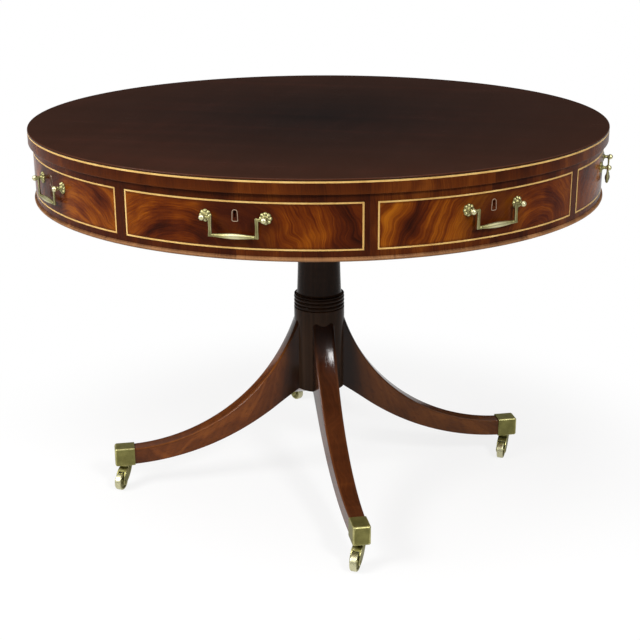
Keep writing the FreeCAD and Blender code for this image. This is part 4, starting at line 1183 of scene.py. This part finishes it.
def make_fittings(finishes):
    """The posts of the drawers' handles, and on the false fronts the posts and the keyholes' threads."""
    posts = post_surfaces()
    for side, turn in SIDES.items():
        make_piece(side + "_handle_posts", [moved(part, turn) for part in posts],
                   side + "_drawer", finishes["brass"], [side + "_drawer_posts"])
    surfaces = [moved(part, turn) for turn in CORNERS.values() for part in posts]
    make_piece("false_front_posts", surfaces, "drum", finishes["brass"], ["false_front_fittings"])
    thread = thread_surface()
    make_piece("false_front_threads", [moved(thread, turn) for turn in CORNERS.values()],
               "drum", finishes["lock_brass"])


EYE_X = (DRUM_RADIUS + EYE_OUT) * math.sin(math.radians(POST_TURN))
EYE_Y = (DRUM_RADIUS + EYE_OUT) * math.cos(math.radians(POST_TURN))


# A bail's straps, from top to foot: how far above the eyes, half the width and half the thickness
STRAP_UP = np.array([0.0026, 0.0022, 0, -0.004, -0.014, -0.024, -BAIL_DROP, -BAIL_DROP - 0.0019,
                     -BAIL_DROP - 0.0023])
STRAP_HALF_WIDTH = np.array([0.0020, 0.0026, 0.0028, 0.0026, 0.0023, 0.0026, 0.0028, 0.0026, 0.0020])
STRAP_HALF_THICK = np.array([0.0012, 0.0017, 0.0019, 0.0017, 0.0015, 0.0017, 0.0019, 0.0017, 0.0012])
STRAP_ROUND = 0.0008
SHOULDER_RADIUS = 0.0026
PIN_RADIUS = 0.0017
PIN_IN = 0.0030
KNOB_CLEARANCE = 0.00035
BAR_RADIUS, BAR_SWELL = 0.0021, 0.0026
BAR_COLLAR, BAR_COLLAR_AT, BAR_COLLAR_WIDTH = 0.0007, 0.86, 0.025


def bail_surfaces():
    """A bail on the front at turn 0: two straps, their shoulders and pins, and a swelling bar. At a share
    x of half its width the bar's radius is r + s (1 - |x|^1.7)^1.4, and a collar's hump stands near each
    end."""
    middle = BAIL_WIDTH / 2
    section = rounded_box(STRAP_HALF_WIDTH, STRAP_HALF_THICK, np.full((len(STRAP_UP), 4), STRAP_ROUND), 5)
    up = HANDLE_UP + np.broadcast_to(STRAP_UP[:, None], section.shape[:2])
    reach, pin = EYE_X - KNOB_RADIUS - KNOB_CLEARANCE, EYE_X - PIN_IN
    profile = eased([(0, middle), (SHOULDER_RADIUS, middle), (SHOULDER_RADIUS, reach), (PIN_RADIUS, reach),
                     (PIN_RADIUS, pin), (0, pin)], [0, 0, 0.0005, 0, 0.0002, 0], 3)
    shoulder = turning(profile, SHOULDER_SEGMENTS)
    surfaces = []
    for side in (-1, 1):
        points = np.stack([side * middle + section[:, :, 0], section[:, :, 1] - EYE_Y, up], -1)
        surfaces.append(grid(with_ends(points), False, True, (0.03, 0.02), edge_rub(5) * 0.8))
        surfaces.append(moved(shoulder, place=(0, -EYE_Y, HANDLE_UP), axes=[*ALONG_X[:2], (side, 0, 0)]))
    x = np.linspace(-1, 1, 61)
    collar = BAR_COLLAR * np.exp(-((np.abs(x) - BAR_COLLAR_AT) / BAR_COLLAR_WIDTH) ** 2)
    radius = BAR_RADIUS + BAR_SWELL * np.clip(1 - np.abs(x) ** 1.7, 0, 1) ** 1.4 + collar
    profile = np.concatenate([[(0, -middle)], np.stack([radius, x * middle], -1), [(0, middle)]])
    rub = np.concatenate([[0], np.clip(1.1 - np.abs(x) * 1.3, 0, 1), [0]])
    bar = turning(profile, SMALL_SEGMENTS, rub=rub)
    surfaces.append(moved(bar, place=(0, -EYE_Y, HANDLE_UP - BAIL_DROP), axes=ALONG_X))
    return surfaces


def make_bails(finishes):
    """The eight bails, four on the drawers and four on the false fronts."""
    bail = bail_surfaces()
    for turns, front in ((SIDES, "_drawer"), (CORNERS, "")):
        for name, turn in turns.items():
            body = name + front + "_bail"
            make_piece(name + front + "_handle", [moved(part, turn) for part in bail], body,
                       finishes["brass"], [body])


LEG_STOPS = (0.30, 0.52, 0.72, 0.86)
# Each leg's mahogany, dark to light. The legs differ a little as boards do, and the left leg's tones are
# painted lighter for the light that falls on it from the left
LEG_TONES_WITH_PAINTED_LIGHT = {
    "front": ((0.018, 0.005, 0.002), (0.062, 0.0165, 0.005), (0.130, 0.038, 0.009), (0.23, 0.080, 0.024)),
    "right": ((0.024, 0.008, 0.003), (0.080, 0.025, 0.006), (0.150, 0.049, 0.010), (0.26, 0.100, 0.026)),
    "back": ((0.020, 0.006, 0.004), (0.070, 0.017, 0.007), (0.150, 0.038, 0.012), (0.26, 0.085, 0.028)),
    "left": ((0.030, 0.008, 0.003), (0.112, 0.030, 0.006), (0.225, 0.067, 0.011), (0.35, 0.130, 0.026)),
}
BRASSES = {
    # name, tarnished, middle and rubbed tone, roughness, metal
    "brass": ("handle_brass", (0.16, 0.145, 0.060), (0.31, 0.285, 0.125), (0.55, 0.52, 0.30), 0.44, 1.0),
    "caster_brass": ("cap_brass", (0.130, 0.120, 0.033), (0.205, 0.190, 0.057), (0.52, 0.49, 0.23),
                     0.42, 0.74),
    "horn_brass": ("horn_brass", (0.13, 0.120, 0.035), (0.26, 0.240, 0.085), (0.58, 0.55, 0.30), 0.34, 1.0),
    "roller_brass": ("roller_brass", (0.16, 0.148, 0.055), (0.31, 0.290, 0.13), (0.56, 0.54, 0.34),
                     0.42, 1.0),
}


def make_finishes():
    """Every finish, under its material slot's name or, where a slot has more than one, its own."""
    finishes = {
        "mahogany_top": top_mahogany(),
        "mahogany": flame_mahogany(),
        "mahogany_band": crossbanding("crossbanded_mahogany", (0.024, 0.0045, 0.0015),
                                      (0.058, 0.0115, 0.0019), (0.135, 0.0350, 0.0042)),
        "moulding": crossbanding("moulding_mahogany", (0.082, 0.032, 0.014), (0.190, 0.086, 0.034),
                                 (0.320, 0.160, 0.068), bands_per_metre=4.0),
        # The column's painted shade covers it from just below the reeds upward, where the drum shades it
        "column": long_mahogany("column_mahogany", COLUMN_TONES, COLUMN_SHINE, "Y", "X", shade_reach=0.01,
                                shaded_above=RING_LOW - 0.002),
        "boxwood": boxwood(),
        "drawer_oak": plain_wood("drawer_oak", OAK_TONES, ring_scale=90.0, roughness=0.42),
        "carcase_pine": plain_wood("carcase_pine", PINE_TONES, ring_scale=45.0, roughness=0.60),
        "lock_brass": lock_brass(),
        "iron": dark_metal("black_iron", (0.016, 0.014, 0.013), (0.045, 0.036, 0.030), 0.45, 0.6),
        "steel": dark_metal("bolt_steel", (0.20, 0.20, 0.19), (0.42, 0.41, 0.39), 0.28, 1.0),
    }
    for slot, row in BRASSES.items():
        finishes[slot] = brass(*row)
    for number, side in enumerate(SIDES):
        stops = list(zip(LEG_STOPS, LEG_TONES_WITH_PAINTED_LIGHT[side]))
        finishes["leg_" + side] = long_mahogany(side + "_leg_mahogany", stops, seed=0.31 * number)
    return finishes


def dress_cad_nodes(finishes):
    """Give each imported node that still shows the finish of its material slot."""
    for row in frame["record"]["subparts"]:
        node = frame["nodes"][row["node"]]
        if not node.hide_render:
            node.material_slots[0].material = finishes[row["material_slot"]]


clear_startup()
make_camera()
make_floor()
make_light()
finishes = make_finishes()
for make in (make_top, make_moulding, make_column, make_legs, make_caps, make_casters, make_fittings,
             make_bails, dress_cad_nodes):
    make(finishes)
